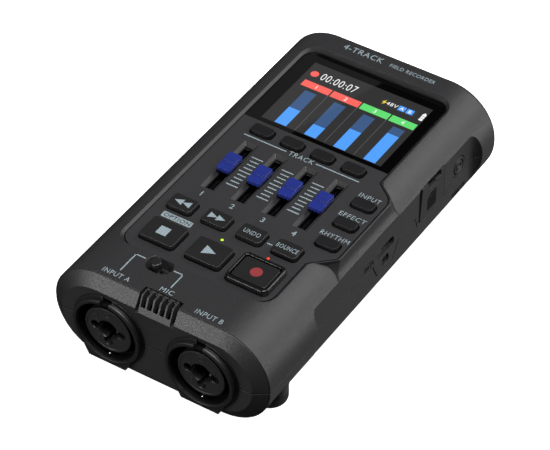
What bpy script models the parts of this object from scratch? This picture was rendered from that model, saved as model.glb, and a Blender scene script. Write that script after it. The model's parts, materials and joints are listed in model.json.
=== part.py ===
"""Portable four-track field recorder, as the separate pieces it comes apart into.

Lengths below are in millimetres and become metres when a mesh is made. The origin is on the table,
under the middle of the recorder: +X is its right side, +Y its screen end and +Z up.
"""

import math

import bmesh
import bpy
from mathutils import Matrix

MM = 0.001
GAP = 0.3  # clearance between neighbouring pieces

# Case: a stadium-like section, bevelled at the socket end and rounded at the screen end
HALF_WIDTH = 35.75
BASE_Z, TOP_Z = 3.9, 36.55
SIDE_RADIUS = 16.2
FRONT_Y, REAR_Y = -63.65, 65.65
BEVEL_DEPTH, BEVEL_INSET = 2.55, 4.2
REAR_DEPTH, REAR_INSET = 3.6, 7.8
WALL = 2.0
PARTING_Z, TONGUE_LOW = 20.0, 14.5
FLAT_X = 33.2  # the flat facet let into each side
FLAT_FRONT, FLAT_REAR = -36.25, 55.5
FLAT_FRONT_RADIUS, FLAT_REAR_RADIUS = 2.0, 4.5  # the facet runs out in a scoop at each end

# Control panel and screen
PANEL_Z, PANEL_THICK = 34.8, 1.6
PANEL_HALF, PANEL_FRONT, PANEL_REAR = 24.7, -45.7, 55.1
PLATFORM_X, PLATFORM_FRONT, PLATFORM_REAR = 31.9, -19.2, 7.75
LEDGE = 1.2
GLASS_FRONT = 18.95
GLASS_Z, GLASS_THICK = 34.5, 0.7
SCREEN_Y = 36.33

# Faders, keys and buttons
TRACKS = 4
TRACK_PITCH = 10.32
FADER_Y, FADER_TRAVEL = -2.93, 8.0
SLOT_WIDTH, SLOT_LENGTH = 2.6, 21.0
BUTTON_SIZE = (7.1, 3.9)
TRACK_BUTTON_Y = 14.6
SIDE_BUTTON_X, SIDE_BUTTON_Y, SIDE_BUTTON_PITCH = 25.76, 3.13, 9.5
SMALL_KEY_SIZE, SMALL_KEY_Y, SMALL_KEY_PITCH = (8.0, 5.6), -24.4, 11.67
LARGE_KEY_SIZE, LARGE_KEY_Y, LARGE_KEY_PITCH = (11.3, 8.8), -37.2, 15.33
KEYS_X = 0.4  # the two key rows sit a little to the right of the middle

# Sockets and inside parts
SOCKET_X, SOCKET_Z = 15.5, 19.6
RING_RADIUS, BORE_RADIUS, INSERT_RADIUS, JACK_RADIUS = 11.5, 9.78, 7.78, 3.1
BOARD_Z = 26.0
USB_Y, USB_Z = 3.65, 22.0
CARD_Y, CARD_LOW, CARD_SIZE = 29.65, 17.0, (14.0, 12.0)
PLUG_Y, PLUG_Z, PLUG_RADIUS = 45.45, 22.5, 2.9
WHEEL_Y, WHEEL_Z, WHEEL_X = -18.0, 22.65, -26.3
JACK_PLACES = {"phones_jack": 20, "line_jack": 32}
POWER_Y, LEFT_Z = 43.0, 23.4  # the left side's jacks and slider share a height
CELL_RADIUS, CELL_LENGTH, CELL_PITCH = 7.1, 50.5, 14.4
BAY_FRONT, BAY_REAR, BAY_HALF = -4.0, 50.6, 29.6
FOOT_RADIUS, FOOT_HEIGHT = 5.45, 3.0
FOOT_PLACES = ((25.4, -45.2), (19.5, 56.5))  # mirrored to the left
TRIPOD_Y = -22.0

COLOURS = {  # base colour, roughness, metallic
    "case": ((0.035, 0.036, 0.038), 0.62, 0.0),
    "panel": ((0.030, 0.032, 0.038), 0.60, 0.0),
    "key": ((0.018, 0.018, 0.020), 0.55, 0.0),
    "blue": ((0.03, 0.05, 0.42), 0.35, 0.0),
    "rubber": ((0.02, 0.02, 0.021), 0.85, 0.0),
    "socket": ((0.015, 0.015, 0.017), 0.45, 0.0),
    "glass": ((0.01, 0.01, 0.012), 0.08, 0.0),
    "lcd": ((0.05, 0.06, 0.08), 0.3, 0.0),
    "board": ((0.02, 0.12, 0.06), 0.5, 0.0),
    "metal": ((0.62, 0.62, 0.60), 0.3, 1.0),
    "brass": ((0.75, 0.55, 0.25), 0.3, 1.0),
    "cell": ((0.30, 0.31, 0.33), 0.35, 0.6),
    "green": ((0.35, 1.0, 0.05), 0.3, 0.0),
    "red": ((1.0, 0.05, 0.02), 0.3, 0.0),
}


# scene and materials


def clear_scene():
    for obj in list(bpy.data.objects):
        bpy.data.objects.remove(obj, do_unlink=True)


def new_collection(name):
    made = bpy.data.collections.new(name)
    bpy.context.scene.collection.children.link(made)
    return made


def material(name):
    colour, roughness, metallic = COLOURS[name]
    made = bpy.data.materials.get(name)
    if made is None:
        made = bpy.data.materials.new(name)
        made.use_nodes = True
        shader = made.node_tree.nodes["Principled BSDF"]
        shader.inputs["Base Color"].default_value = (*colour, 1.0)
        shader.inputs["Roughness"].default_value = roughness
        shader.inputs["Metallic"].default_value = metallic
    return made


def add_object(name, mesh, place=(0, 0, 0), colour=None):
    obj = bpy.data.objects.new(name, mesh)
    obj.location = [value * MM for value in place]
    if colour is None:
        cutters.objects.link(obj)
        obj.hide_render = True
        obj.display_type = "WIRE"
    else:
        parts.objects.link(obj)
        obj.parent = recorder
        mesh.materials.append(material(colour))
        mesh.shade_smooth()
        mesh.set_sharp_from_angle(angle=math.radians(35))
    return obj


# shapes, all in millimetres


def rounded_outline(corners, steps=4):
    """Points round a polygon whose corners are (u, v, radius), each radius as an arc."""
    points = []
    for index, (u, v, radius) in enumerate(corners):
        if radius <= 0:
            points.append((u, v))
            continue
        before, after = corners[index - 1], corners[(index + 1) % len(corners)]
        ways = []
        for other in (before, after):
            length = math.hypot(other[0] - u, other[1] - v)
            ways.append(((other[0] - u) / length, (other[1] - v) / length))
        half = math.acos(max(-1, min(1, ways[0][0] * ways[1][0] + ways[0][1] * ways[1][1]))) / 2
        middle = (ways[0][0] + ways[1][0], ways[0][1] + ways[1][1])
        size = math.hypot(*middle)
        reach = radius / math.sin(half)
        centre = (u + middle[0] / size * reach, v + middle[1] / size * reach)
        run = radius / math.tan(half)
        first = (u + ways[0][0] * run, v + ways[0][1] * run)
        last = (u + ways[1][0] * run, v + ways[1][1] * run)
        start = math.atan2(first[1] - centre[1], first[0] - centre[0])
        sweep = math.atan2(last[1] - centre[1], last[0] - centre[0]) - start
        sweep = (sweep + math.pi) % (2 * math.pi) - math.pi
        for step in range(steps + 1):
            angle = start + sweep * step / steps
            points.append((centre[0] + radius * math.cos(angle), centre[1] + radius * math.sin(angle)))
    return points


def rectangle(width, length, radius=0, centre=(0, 0), steps=3):
    u, v = width / 2, length / 2
    corners = [(-u, -v), (u, -v), (u, v), (-u, v)]
    return rounded_outline([(a + centre[0], b + centre[1], radius) for a, b in corners], steps)


def circle(radius, centre=(0, 0), steps=32):
    turn = 2 * math.pi / steps
    return [
        (centre[0] + radius * math.cos(turn * k), centre[1] + radius * math.sin(turn * k))
        for k in range(steps)
    ]


AXES = {  # where an outline's (u, v) and its thickness go
    "Z": Matrix(((1, 0, 0), (0, 1, 0), (0, 0, 1))),
    "Y": Matrix(((1, 0, 0), (0, 0, 1), (0, 1, 0))),
    "X": Matrix(((0, 0, 1), (1, 0, 0), (0, 1, 0))),
}


def finish_mesh(name, bm, axis="Z"):
    bm.transform(AXES[axis].to_4x4() @ Matrix.Scale(MM, 4))
    bmesh.ops.recalc_face_normals(bm, faces=bm.faces)
    if bm.calc_volume(signed=True) < 0:
        bmesh.ops.reverse_faces(bm, faces=bm.faces)
    mesh = bpy.data.meshes.new(name)
    bm.to_mesh(mesh)
    bm.free()
    return mesh


def plate(name, outline, low, high, axis="Z"):
    """A flat outline with a thickness from low to high, along an axis."""
    curve = bpy.data.curves.new(name, "CURVE")
    curve.dimensions = "2D"
    curve.fill_mode = "BOTH"
    curve.extrude = (high - low) / 2
    spline = curve.splines.new("POLY")
    spline.points.add(len(outline) - 1)
    for point, (u, v) in zip(spline.points, outline):
        point.co = (u, v, 0, 1)
    spline.use_cyclic_u = True
    drawn = bpy.data.objects.new(name, curve)
    bpy.context.scene.collection.objects.link(drawn)
    flat = bpy.data.meshes.new_from_object(drawn.evaluated_get(bpy.context.evaluated_depsgraph_get()))
    bpy.data.objects.remove(drawn, do_unlink=True)
    bm = bmesh.new()
    bm.from_mesh(flat)
    bmesh.ops.remove_doubles(bm, verts=bm.verts, dist=0.001)
    bm.transform(Matrix.Translation((0, 0, (low + high) / 2)))
    return finish_mesh(name, bm, axis)


def loft(name, rings, axis="Z"):
    """A closed solid through rings of equally many (u, v, w) points."""
    bm = bmesh.new()
    rows = [[bm.verts.new(point) for point in ring] for ring in rings]
    for lower, upper in zip(rows, rows[1:]):
        for k in range(len(lower)):
            after = (k + 1) % len(lower)
            bm.faces.new((lower[k], lower[after], upper[after], upper[k]))
    bm.faces.new(rows[0][::-1])
    bm.faces.new(rows[-1])
    return finish_mesh(name, bm, axis)


def stack(name, levels, axis="Z", centre=(0, 0), steps=2):
    """Rounded rectangles (height, width, length, radius) lofted one on another."""
    rings = []
    for height, width, length, radius in levels:
        outline = rectangle(width, length, radius, centre, steps)
        rings.append([(u, v, height) for u, v in outline])
    return loft(name, rings, axis)


def turned(name, levels, axis="Z", centre=(0, 0), steps=24):
    """Circles (height, radius) lofted one on another."""
    rings = [[(u, v, height) for u, v in circle(radius, centre, steps)] for height, radius in levels]
    return loft(name, rings, axis)


def boolean(target, operation, mesh, place=(0, 0, 0)):
    cutter = add_object(f"{target.name}_{operation.lower()}_{len(target.modifiers)}", mesh, place)
    modifier = target.modifiers.new(operation.title(), "BOOLEAN")
    modifier.operation = operation
    modifier.solver = "EXACT"
    modifier.object = cutter


def cut(target, mesh, place=(0, 0, 0)):
    boolean(target, "DIFFERENCE", mesh, place)


def join(target, mesh, place=(0, 0, 0)):
    boolean(target, "UNION", mesh, place)


# case


def case_section(inset, y):
    """One cross-section of the case, at y, this far inside its widest outline."""
    radius = max(SIDE_RADIUS - inset, 0.6)
    height = TOP_Z - BASE_Z - 2 * inset
    outline = rectangle(
        2 * (HALF_WIDTH - inset), height, min(radius, height / 2 - 0.05), (0, (TOP_Z + BASE_Z) / 2), 9
    )
    return [(x, z, y) for x, z in outline]


def case_body(name, wall=0.0):
    """The outside of the case, or with a wall thickness the cavity inside it."""
    front = FRONT_Y + wall
    rings = [
        case_section(BEVEL_INSET + 0.6 * wall, front),
        case_section(wall, FRONT_Y + BEVEL_DEPTH + wall),
    ]
    steps = 4
    for step in range(steps + 1):
        angle = math.pi / 2 * step / steps
        y = REAR_Y - wall - REAR_DEPTH * (1 - math.sin(angle))
        rings.append(case_section(wall + REAR_INSET * (1 - math.cos(angle)), y))
    return loft(name, rings, "Y")


def panel_outline(inset=0.0):
    """The well in the top of the case, with the platform for the side buttons."""
    side, front, rear = PANEL_HALF - inset, PANEL_FRONT + inset, PANEL_REAR - inset
    out = PLATFORM_X - 0.7 - inset
    return rounded_outline(
        [
            (-side, front, 4.6 - inset / 2),
            (side, front, 4.6 - inset / 2),
            (side, PLATFORM_FRONT - 6.4 + inset / 2, 1.0),
            (side + 1.2, PLATFORM_FRONT - 5.2 + inset / 2, 1.0),
            (out, PLATFORM_FRONT - 0.2 + inset / 2, 1.0),
            (out, PLATFORM_REAR - inset / 2, 1.2),
            (out - 1.2, PLATFORM_REAR + 2.3 - inset / 2, 1.2),
            (side, PLATFORM_REAR + 6.4 - inset / 2, 1.2),
            (side, rear, 4.6 - inset / 2),
            (-side, rear, 4.6 - inset / 2),
        ]
    )


def platform_outline():
    """The outside of the side-button platform, which stands out of the case's round shoulder."""
    return rounded_outline(
        [
            (20, PLATFORM_FRONT - 6.4, 0),
            (25.3, PLATFORM_FRONT - 5.6, 1.0),
            (PLATFORM_X, PLATFORM_FRONT, 1.0),
            (PLATFORM_X, PLATFORM_REAR, 1.2),
            (PLATFORM_X - 1.4, PLATFORM_REAR + 2.5, 1.2),
            (25, PLATFORM_REAR + 6.8, 0),
            (20, PLATFORM_REAR + 6.8, 0),
        ]
    )


def parting_line(shift):
    """The right side's seam, moved up by shift: it dips under the USB slot, card cover and plug."""
    line, side = PARTING_Z + shift, 0.9 * shift
    card_front, card_rear = CARD_Y - CARD_SIZE[0] / 2, CARD_Y + CARD_SIZE[0] / 2
    card_low = CARD_LOW - 0.8 + shift
    reach = PLUG_RADIUS + 1.0 - shift
    collar = []
    for degrees in range(216, 325, 27):
        angle = math.radians(degrees)
        collar.append((PLUG_Y + reach * math.cos(angle), PLUG_Z + reach * math.sin(angle)))
    return [
        (USB_Y - 7.0 + side, line),
        (USB_Y - 4.5 + side, TONGUE_LOW + shift),
        (USB_Y + 4.0 - side, TONGUE_LOW + shift),
        (USB_Y + 7.5 - side, line),
        (card_front - 2.2 + side, line),
        (card_front - 1.0 + side, card_low),
        (card_rear + 1.0 - side, card_low),
        *collar,
        (PLUG_Y + 5.2, line),
    ]


def parting_cutter(name, keep_upper):
    """The part of space under or over the seam, as two cutters: a plain one and the right side's."""
    shift = GAP / 2 if keep_upper else -GAP / 2
    line = PARTING_Z + shift
    far = -10 if keep_upper else 50
    left = [(-80, far), (80, far), (80, line), (-80, line)]
    right = [(-80, far), (80, far), (80, line), *reversed(parting_line(shift)), (-80, line)]
    return plate(f"{name}_left", left, -45, 25.2, "X"), plate(f"{name}_right", right, 25, 45, "X")


def hollow_out(target):
    """Cut the cavity, thicken the side walls and let the flat facets into them."""
    cut(target, case_body("cavity", WALL))
    length, middle = FLAT_REAR - FLAT_FRONT, (FLAT_REAR + FLAT_FRONT) / 2
    for side in (-1, 1):
        low, high = sorted((side * (FLAT_X - WALL), side * (FLAT_X + 0.4)))
        wall = rectangle(length + 2, 14.4, 0, (middle, PARTING_Z + 0.2))
        join(target, plate("side_wall", wall, low, high, "X"))
        facet = [
            (side * FLAT_X, FLAT_FRONT, FLAT_FRONT_RADIUS),
            (side * 50, FLAT_FRONT, 0),
            (side * 50, FLAT_REAR, 0),
            (side * FLAT_X, FLAT_REAR, FLAT_REAR_RADIUS),
        ]
        cut(target, plate("side_flat", rounded_outline(facet), -10, 50))


def make_upper_case():
    case = add_object("upper_case", case_body("upper_case"), colour="case")
    join(case, plate("platform", platform_outline(), 26, PANEL_Z + 0.15))
    hollow_out(case)
    # a frame under the panel carries the ledge that the panel and the screen sit on
    join(case, plate("deck", panel_outline(-0.5), 31.6, PANEL_Z + 0.1))
    join(case, plate("switch_pad", rectangle(13, 9.5, 0, (-7.86, -50.2)), 33.4, 36.0))
    for cutter in parting_cutter("below", True):
        cut(case, cutter)
    cut(case, plate("well", panel_outline(), PANEL_Z - PANEL_THICK - GAP, 45))
    cut(case, plate("well_through", panel_outline(LEDGE), 20, 45))
    cut(case, plate("switch_recess", rectangle(8.0, 6.0, 2.9, (-7.86, -49.44), 5), 34.6, 45))
    cut(case, plate("switch_slot", rectangle(5.4, 2.4, 0, (-7.86, -49.44)), 30, 45))
    cut(case, plate("mic_port", rectangle(12.6, 12, 0, (0, -64.3)), 31.2, 45))
    for side in (-1, 1):
        cut(case, plate("socket_hole", circle(10.9, (side * SOCKET_X, SOCKET_Z)), -70, -55, "Y"))
    cut(case, plate("usb_slot", rectangle(9.2, 3.5, 1.7, (USB_Y, USB_Z)), 28, 40, "X"))
    card_middle = (CARD_Y, CARD_LOW + CARD_SIZE[1] / 2)
    card_hole = rectangle(CARD_SIZE[0] + 2 * GAP, CARD_SIZE[1] + 2 * GAP, 0.8, card_middle)
    cut(case, plate("card_hole", card_hole, 28, 40, "X"))
    cut(case, plate("port_hole", circle(PLUG_RADIUS + GAP, (PLUG_Y, PLUG_Z), 20), 28, 40, "X"))
    cut(case, plate("wheel_slot", rectangle(12.6, 3.7, 0, (WHEEL_Y, WHEEL_Z)), -40, -28, "X"))
    for y in JACK_PLACES.values():
        cut(case, plate("jack_hole", circle(2.6, (y, LEFT_Z), 20), -40, -28, "X"))
    cut(case, plate("power_slot", rectangle(7.4, 2.6, 0, (POWER_Y + 1.5, LEFT_Z)), -40, -28, "X"))


def make_lower_case():
    case = add_object("lower_case", case_body("lower_case"), colour="case")
    for side in (-1, 1):
        for x, y in FOOT_PLACES:
            boss = [(FOOT_HEIGHT + GAP, FOOT_RADIUS), (9.2, FOOT_RADIUS)]
            join(case, turned("foot_boss", boss, centre=(side * x, y), steps=24))
    hollow_out(case)
    for side in (-1, 1):
        for x, y in FOOT_PLACES:
            join(case, turned("foot_post", [(6.0, 3.0), (9.0, 3.0)], centre=(side * x, y), steps=16))
    join(case, turned("tripod_boss", [(5.0, 7.2), (13.0, 7.2)], centre=(0, TRIPOD_Y), steps=24))
    for cutter in parting_cutter("above", False):
        cut(case, cutter)
    bay_length, bay_middle = BAY_REAR - BAY_FRONT, (BAY_REAR + BAY_FRONT) / 2
    cut(case, plate("bay", rectangle(2 * BAY_HALF, bay_length, 1.5, (0, bay_middle)), 0, 13.2))
    for side in (-1, 1):
        cut(case, plate("socket_hole", circle(10.9, (side * SOCKET_X, SOCKET_Z)), -70, -55, "Y"))
    cut(case, turned("tripod_hole", [(0, 5.1), (12.3, 5.1)], centre=(0, TRIPOD_Y), steps=24))


def make_battery_cover():
    cover = add_object("battery_cover", case_body("battery_cover"), colour="case")
    cut(cover, case_body("cavity", WALL))
    length, middle = BAY_REAR - BAY_FRONT - 2 * GAP, (BAY_REAR + BAY_FRONT) / 2
    inside = rectangle(2 * (BAY_HALF - GAP), length, 1.3, (0, middle))
    boolean(cover, "INTERSECT", plate("cover_outline", inside, -5, 12.9))


# panel and screen


def make_panel():
    """The panel fills the well up to the screen, so its outline is the well's, cut off at the glass."""
    outline = [(x, y) for x, y in panel_outline(GAP) if y < GLASS_FRONT]
    turn = 1 + max(index for index, (x, y) in enumerate(outline) if x > 0)
    side, rear = PANEL_HALF - GAP, GLASS_FRONT - GAP
    outline[turn:turn] = [(side, rear), (-side, rear)]
    body = plate("control_panel", outline, PANEL_Z - PANEL_THICK, PANEL_Z)
    panel = add_object("control_panel", body, colour="panel")
    for x in track_places():
        wide = [(PANEL_Z - 0.9, 3.0, 21.6, 0.2), (PANEL_Z + 1, 6.1, 25.0, 0.2)]
        cut(panel, stack("fader_well", wide), (x, FADER_Y, 0))
        cut(panel, plate("fader_slot", rectangle(SLOT_WIDTH, SLOT_LENGTH), 30, 40), (x, FADER_Y, 0))
        cut(panel, key_hole(BUTTON_SIZE, 1.2), (x, TRACK_BUTTON_Y, 0))
    for y in side_places():
        cut(panel, key_hole(BUTTON_SIZE, 1.2), (SIDE_BUTTON_X, y, 0))
    for x in small_places():
        cut(panel, key_hole(SMALL_KEY_SIZE, 1.0), (x, SMALL_KEY_Y, 0))
    for x in large_places():
        cut(panel, key_hole(LARGE_KEY_SIZE, 1.0), (x, LARGE_KEY_Y, 0))
    for x, y in LED_PLACES:
        cut(panel, plate("led_hole", circle(0.9, steps=12), 30, 40), (x, y, 0))


def key_hole(size, radius):
    return plate("key_hole", rectangle(size[0] + 2 * GAP, size[1] + 2 * GAP, radius + GAP), 30, 40)


def track_places():
    return [(index - (TRACKS - 1) / 2) * TRACK_PITCH for index in range(TRACKS)]


def side_places():
    return [SIDE_BUTTON_Y - index * SIDE_BUTTON_PITCH for index in range(3)]


def small_places():
    return [KEYS_X + (index - 1.5) * SMALL_KEY_PITCH for index in range(4)]


def large_places():
    return [KEYS_X + (index - 1) * LARGE_KEY_PITCH for index in range(3)]


LED_PLACES = ((-0.1, -30.0), (14.8, -29.4))


def make_screen():
    side, rear = PANEL_HALF - GAP, PANEL_REAR - GAP
    corners = [(-side, GLASS_FRONT, 0), (side, GLASS_FRONT, 0), (side, rear, 4.3), (-side, rear, 4.3)]
    glass = plate("screen_window", rounded_outline(corners), GLASS_Z - GLASS_THICK, GLASS_Z)
    add_object("screen_window", glass, colour="glass")
    module = stack("lcd_module", [(30.9, 45.0, 31.6, 0.5), (33.2, 45.0, 31.6, 0.5)])
    add_object("lcd_module", module, (0, SCREEN_Y, 0), "lcd")


def make_key(name, size, radius, height, place, colour="key"):
    """A key cap with a flange and a stem under the panel."""
    width, length = size
    levels = [
        (30.9, 1.6, 1.6, 0.5),
        (32.0, 1.6, 1.6, 0.5),
        (32.0, width + 1.0, length + 1.0, radius),
        (32.7, width, length, radius),
        (PANEL_Z + height - 0.45, width, length, radius),
        (PANEL_Z + height, width - 0.8, length - 0.8, max(radius - 0.4, 0.3)),
    ]
    levels = [(z - PANEL_Z, w, d, r) for z, w, d, r in levels]
    return add_object(name, stack(name, levels), (*place, PANEL_Z), colour)


def make_keys():
    for number, x in enumerate(track_places(), 1):
        make_key(f"track_button_{number}", BUTTON_SIZE, 1.2, 1.1, (x, TRACK_BUTTON_Y))
    for name, y in zip(("input_button", "effect_button", "rhythm_button"), side_places()):
        make_key(name, BUTTON_SIZE, 1.2, 1.1, (SIDE_BUTTON_X, y))
    for name, x in zip(("rewind_key", "forward_key", "undo_key", "bounce_key"), small_places()):
        make_key(name, SMALL_KEY_SIZE, 1.0, 1.4, (x, SMALL_KEY_Y))
    for name, x in zip(("stop_key", "play_key", "record_key"), large_places()):
        make_key(name, LARGE_KEY_SIZE, 1.0, 1.5, (x, LARGE_KEY_Y))


def make_record_guard():
    """The raised frame that keeps the record key from being pressed by accident."""
    width, length = LARGE_KEY_SIZE
    place = (large_places()[2], LARGE_KEY_Y, 0)
    levels = [(PANEL_Z + 0.3, width + 3.1, length + 3.7, 1.9), (TOP_Z, width + 2.4, length + 3.0, 1.6)]
    guard = add_object("record_guard", stack("record_guard", levels), place, "key")
    hole = [(30, width + 0.8, length + 0.8, 1.3), (40, width + 0.8, length + 0.8, 1.3)]
    cut(guard, stack("guard_hole", hole), place)


def make_leds():
    for name, (x, y), colour in zip(("play_led", "record_led"), LED_PLACES, ("green", "red")):
        add_object(name, turned(name, [(31.5, 0.5), (PANEL_Z + 0.1, 0.5)], steps=12), (x, y, 0), colour)


def make_faders():
    for number, x in enumerate(track_places(), 1):
        body = add_object(
            f"fader_body_{number}",
            stack("fader_body", [(27.9, 6.8, 27.6, 0.2), (31.2, 6.8, 27.6, 0.2)]),
            (x, FADER_Y, 0),
            "metal",
        )
        cut(body, plate("fader_track", rectangle(1.8, 22.0), 29.0, 40), (x, FADER_Y, 0))
        levels = [
            (29.6, 0.9, 3.4, 0.1),
            (35.3, 0.9, 3.4, 0.1),
            (35.3, 4.5, 7.7, 0.6),
            (36.2, 4.5, 7.7, 0.6),
            (36.8, 3.5, 6.4, 0.4),
        ]
        levels = [(z - PANEL_Z, w, d, r) for z, w, d, r in levels]
        cap = stack("fader_cap", levels)
        add_object(f"fader_cap_{number}", cap, (x, FADER_Y, PANEL_Z), "blue")


# socket end


def make_combo_sockets():
    for letter, side in (("a", -1), ("b", 1)):
        centre = (side * SOCKET_X, SOCKET_Z)
        levels = [(-46.0, 10.5), (-63.95, 10.5), (-63.95, RING_RADIUS), (-65.65, RING_RADIUS - 0.3)]
        shell = turned("combo_shell", levels, "Y", centre, 32)
        shell = add_object(f"combo_shell_{letter}", shell, colour="socket")
        x = side * SOCKET_X
        boss = [(x - 7.7, 11.5), (x - 6.2, 8.1), (x + 6.2, 8.1), (x + 7.7, 11.5)]
        join(shell, plate("ring_foot", boss, -65.5, -63.95, "Y"))
        cut(shell, turned("combo_bore", [(-70, BORE_RADIUS), (-48.0, BORE_RADIUS)], "Y", centre, 32))
        cut(shell, plate("key_notch", rectangle(3.0, 6.0, 0, (x, SOCKET_Z + 11.3)), -70, -62.5, "Y"))

        insert = turned("combo_insert", [(-48.3, INSERT_RADIUS), (-64.4, INSERT_RADIUS)], "Y", centre, 28)
        insert = add_object(f"combo_insert_{letter}", insert, colour="socket")
        cut(insert, turned("jack_bore", [(-70, JACK_RADIUS), (-50, JACK_RADIUS)], "Y", centre, 24))
        for turn in (0, 180, 270):
            reach = 4.3
            u = x + reach * math.cos(math.radians(turn))
            v = SOCKET_Z + reach * math.sin(math.radians(turn))
            cut(insert, turned("pin_bore", [(-70, 1.35), (-52, 1.35)], "Y", (u, v), 16))

        contact = rectangle(1.6, 0.5, 0, (x, SOCKET_Z - 8.9))
        blade = plate("combo_contact", contact, -62.5, -48.3, "Y")
        add_object(f"combo_contact_{letter}", blade, colour="metal")


def make_microphone():
    """A slotted grille over the bevel, with the capsule behind it."""
    profile = [
        (-64.2, 31.5), (-61.7, 36.75), (-58.9, 36.95), (-58.6, 35.6),
        (-58.6, 33.2), (-61.0, 33.2), (-62.6, 31.9),
    ]
    grille = add_object("mic_grille", plate("mic_grille", profile, -6.0, 6.0, "X"), colour="key")
    for index in range(5):
        x = (index - 2) * 2.15
        cut(grille, plate("grille_slot", rectangle(1.25, 3.9, 0, (x, -61.6)), 20, 45))
    capsule = turned("mic_capsule", [(-58.0, 2.2), (-54.6, 2.2)], "Y", (0, 31.6), 20)
    add_object("mic_capsule", capsule, colour="metal")


def make_mode_switch():
    knob = turned("mode_knob", [(-2.0, 0.8), (-0.4, 0.8), (-0.4, 1.75), (1.9, 1.6), (2.1, 1.35)], steps=20)
    add_object("mode_knob", knob, (-8.9, -49.44, 35.2), "key")
    body = stack("mode_switch", [(30.4, 9.0, 4.4, 0.2), (32.6, 9.0, 4.4, 0.2)])
    add_object("mode_switch", body, (-7.86, -49.44, 0), "metal")


# sides


def make_right_side():
    usb = stack("usb_socket", [(24.8, 8.9, 3.2, 1.5), (32.0, 8.9, 3.2, 1.5)], "X", (USB_Y, USB_Z), 5)
    usb = add_object("usb_socket", usb, colour="metal")
    cut(usb, stack("usb_mouth", [(25.6, 8.3, 2.5, 1.2), (34, 8.3, 2.5, 1.2)], "X", (USB_Y, USB_Z), 5))
    join(usb, plate("usb_tongue", rectangle(6.6, 0.7, 0, (USB_Y, USB_Z)), 25.2, 31.0, "X"))

    width, height = CARD_SIZE
    place = (FLAT_X, CARD_Y, CARD_LOW)
    cover = plate("card_cover", rectangle(width, height, 0.6, (0, height / 2)), -1.4, 0.15, "X")
    cover = add_object("card_cover", cover, place, "rubber")
    cut(cover, plate("pull_notch", rectangle(7.5, 1.6, 0, (1.0, height + 0.1)), -0.9, 2, "X"), place)
    slot = stack("card_socket", [(18.0, 13.0, 2.0, 0.2), (30.4, 13.0, 2.0, 0.2)], "X", (CARD_Y, 24.6))
    slot = add_object("card_socket", slot, colour="metal")
    cut(slot, plate("card_mouth", rectangle(11.4, 0.9, 0, (CARD_Y, 24.6)), 19, 34, "X"))

    levels = [(-2.4, PLUG_RADIUS - 0.4), (0.0, PLUG_RADIUS), (0.15, PLUG_RADIUS)]
    add_object("port_plug", turned("port_plug", levels, "X"), (FLAT_X, PLUG_Y, PLUG_Z), "rubber")


def make_left_side():
    wheel = turned("volume_wheel", [(-1.4, 7.6), (-1.1, 8.0), (1.1, 8.0), (1.4, 7.6)], steps=32)
    place = (WHEEL_X, WHEEL_Y, WHEEL_Z)
    wheel = add_object("volume_wheel", wheel, place, "key")
    cut(wheel, plate("wheel_bore", circle(1.5, steps=16), -3, 3), place)
    for name, y in JACK_PLACES.items():
        jack = stack(name, [(-31.0, 7.0, 4.6, 0.3), (-20.5, 7.0, 4.6, 0.3)], "X", (y, LEFT_Z))
        jack = add_object(name, jack, colour="socket")
        join(jack, turned("jack_nose", [(-32.6, 2.3), (-30.5, 2.3)], "X", (y, LEFT_Z), 20))
        cut(jack, turned("jack_bore", [(-40, 1.8), (-22.5, 1.8)], "X", (y, LEFT_Z), 20))
    knob = stack("power_knob", [(-0.9, 2.4, 1.6, 0.1), (0.3, 3.0, 1.6, 0.1), (4.2, 3.0, 1.6, 0.1)], "X")
    add_object("power_knob", knob, (-FLAT_X, POWER_Y, LEFT_Z), "key")


# inside and underneath


def make_boards():
    board = stack("main_board", [(BOARD_Z, 58, 102, 1.5), (BOARD_Z + 1.6, 58, 102, 1.5)])
    add_object("main_board", board, (0, 8.0, 0), "board")
    keys = plate("key_board", rectangle(57, 61, 1, (0, -14.2)), 28.3, 29.9)
    keys = add_object("key_board", keys, colour="board")
    cut(keys, plate("fader_window", rectangle(39.4, 28.8, 0, (0, FADER_Y)), 20, 40))


def make_cells():
    for number in range(4):
        x = (number - 1.5) * CELL_PITCH
        end = CELL_LENGTH / 2
        levels = [
            (-end, CELL_RADIUS - 0.5),
            (-end + 0.5, CELL_RADIUS),
            (end - 1.6, CELL_RADIUS),
            (end - 1.2, CELL_RADIUS - 0.6),
            (end - 1.2, 2.7),
            (end, 2.7),
        ]
        if number % 2:
            levels = [(-height, radius) for height, radius in reversed(levels)]
        cell = turned("battery", levels, "Y", steps=18)
        add_object(f"battery_{number + 1}", cell, (x, (BAY_FRONT + BAY_REAR) / 2, 13.7), "cell")


def make_feet():
    names = iter(("foot_front_left", "foot_front_right", "foot_rear_left", "foot_rear_right"))
    for x, y in FOOT_PLACES:
        for side in (-1, 1):
            levels = [
                (0, FOOT_RADIUS - 0.45),
                (0.15, FOOT_RADIUS - 0.12),
                (0.5, FOOT_RADIUS),
                (FOOT_HEIGHT, FOOT_RADIUS),
            ]
            add_object(next(names), turned("foot", levels, steps=20), (side * x, y, 0), "rubber")
    place = (0, TRIPOD_Y, 0)
    nut = add_object("tripod_insert", turned("tripod_insert", [(4.1, 4.8), (12.0, 4.8)]), place, "brass")
    cut(nut, turned("tripod_thread", [(0, 3.0), (11.0, 3.0)]), place)


clear_scene()
parts = new_collection("portable_field_recorder")
cutters = new_collection("cutters")
recorder = bpy.data.objects.new("recorder", None)
parts.objects.link(recorder)

make_upper_case()
make_lower_case()
make_battery_cover()
make_panel()
make_screen()
make_keys()
make_record_guard()
make_leds()
make_faders()
make_combo_sockets()
make_microphone()
make_mode_switch()
make_right_side()
make_left_side()
make_boards()
make_cells()
make_feet()
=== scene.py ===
import json
import math

import bmesh
import bpy
from mathutils import Matrix, Vector

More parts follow.
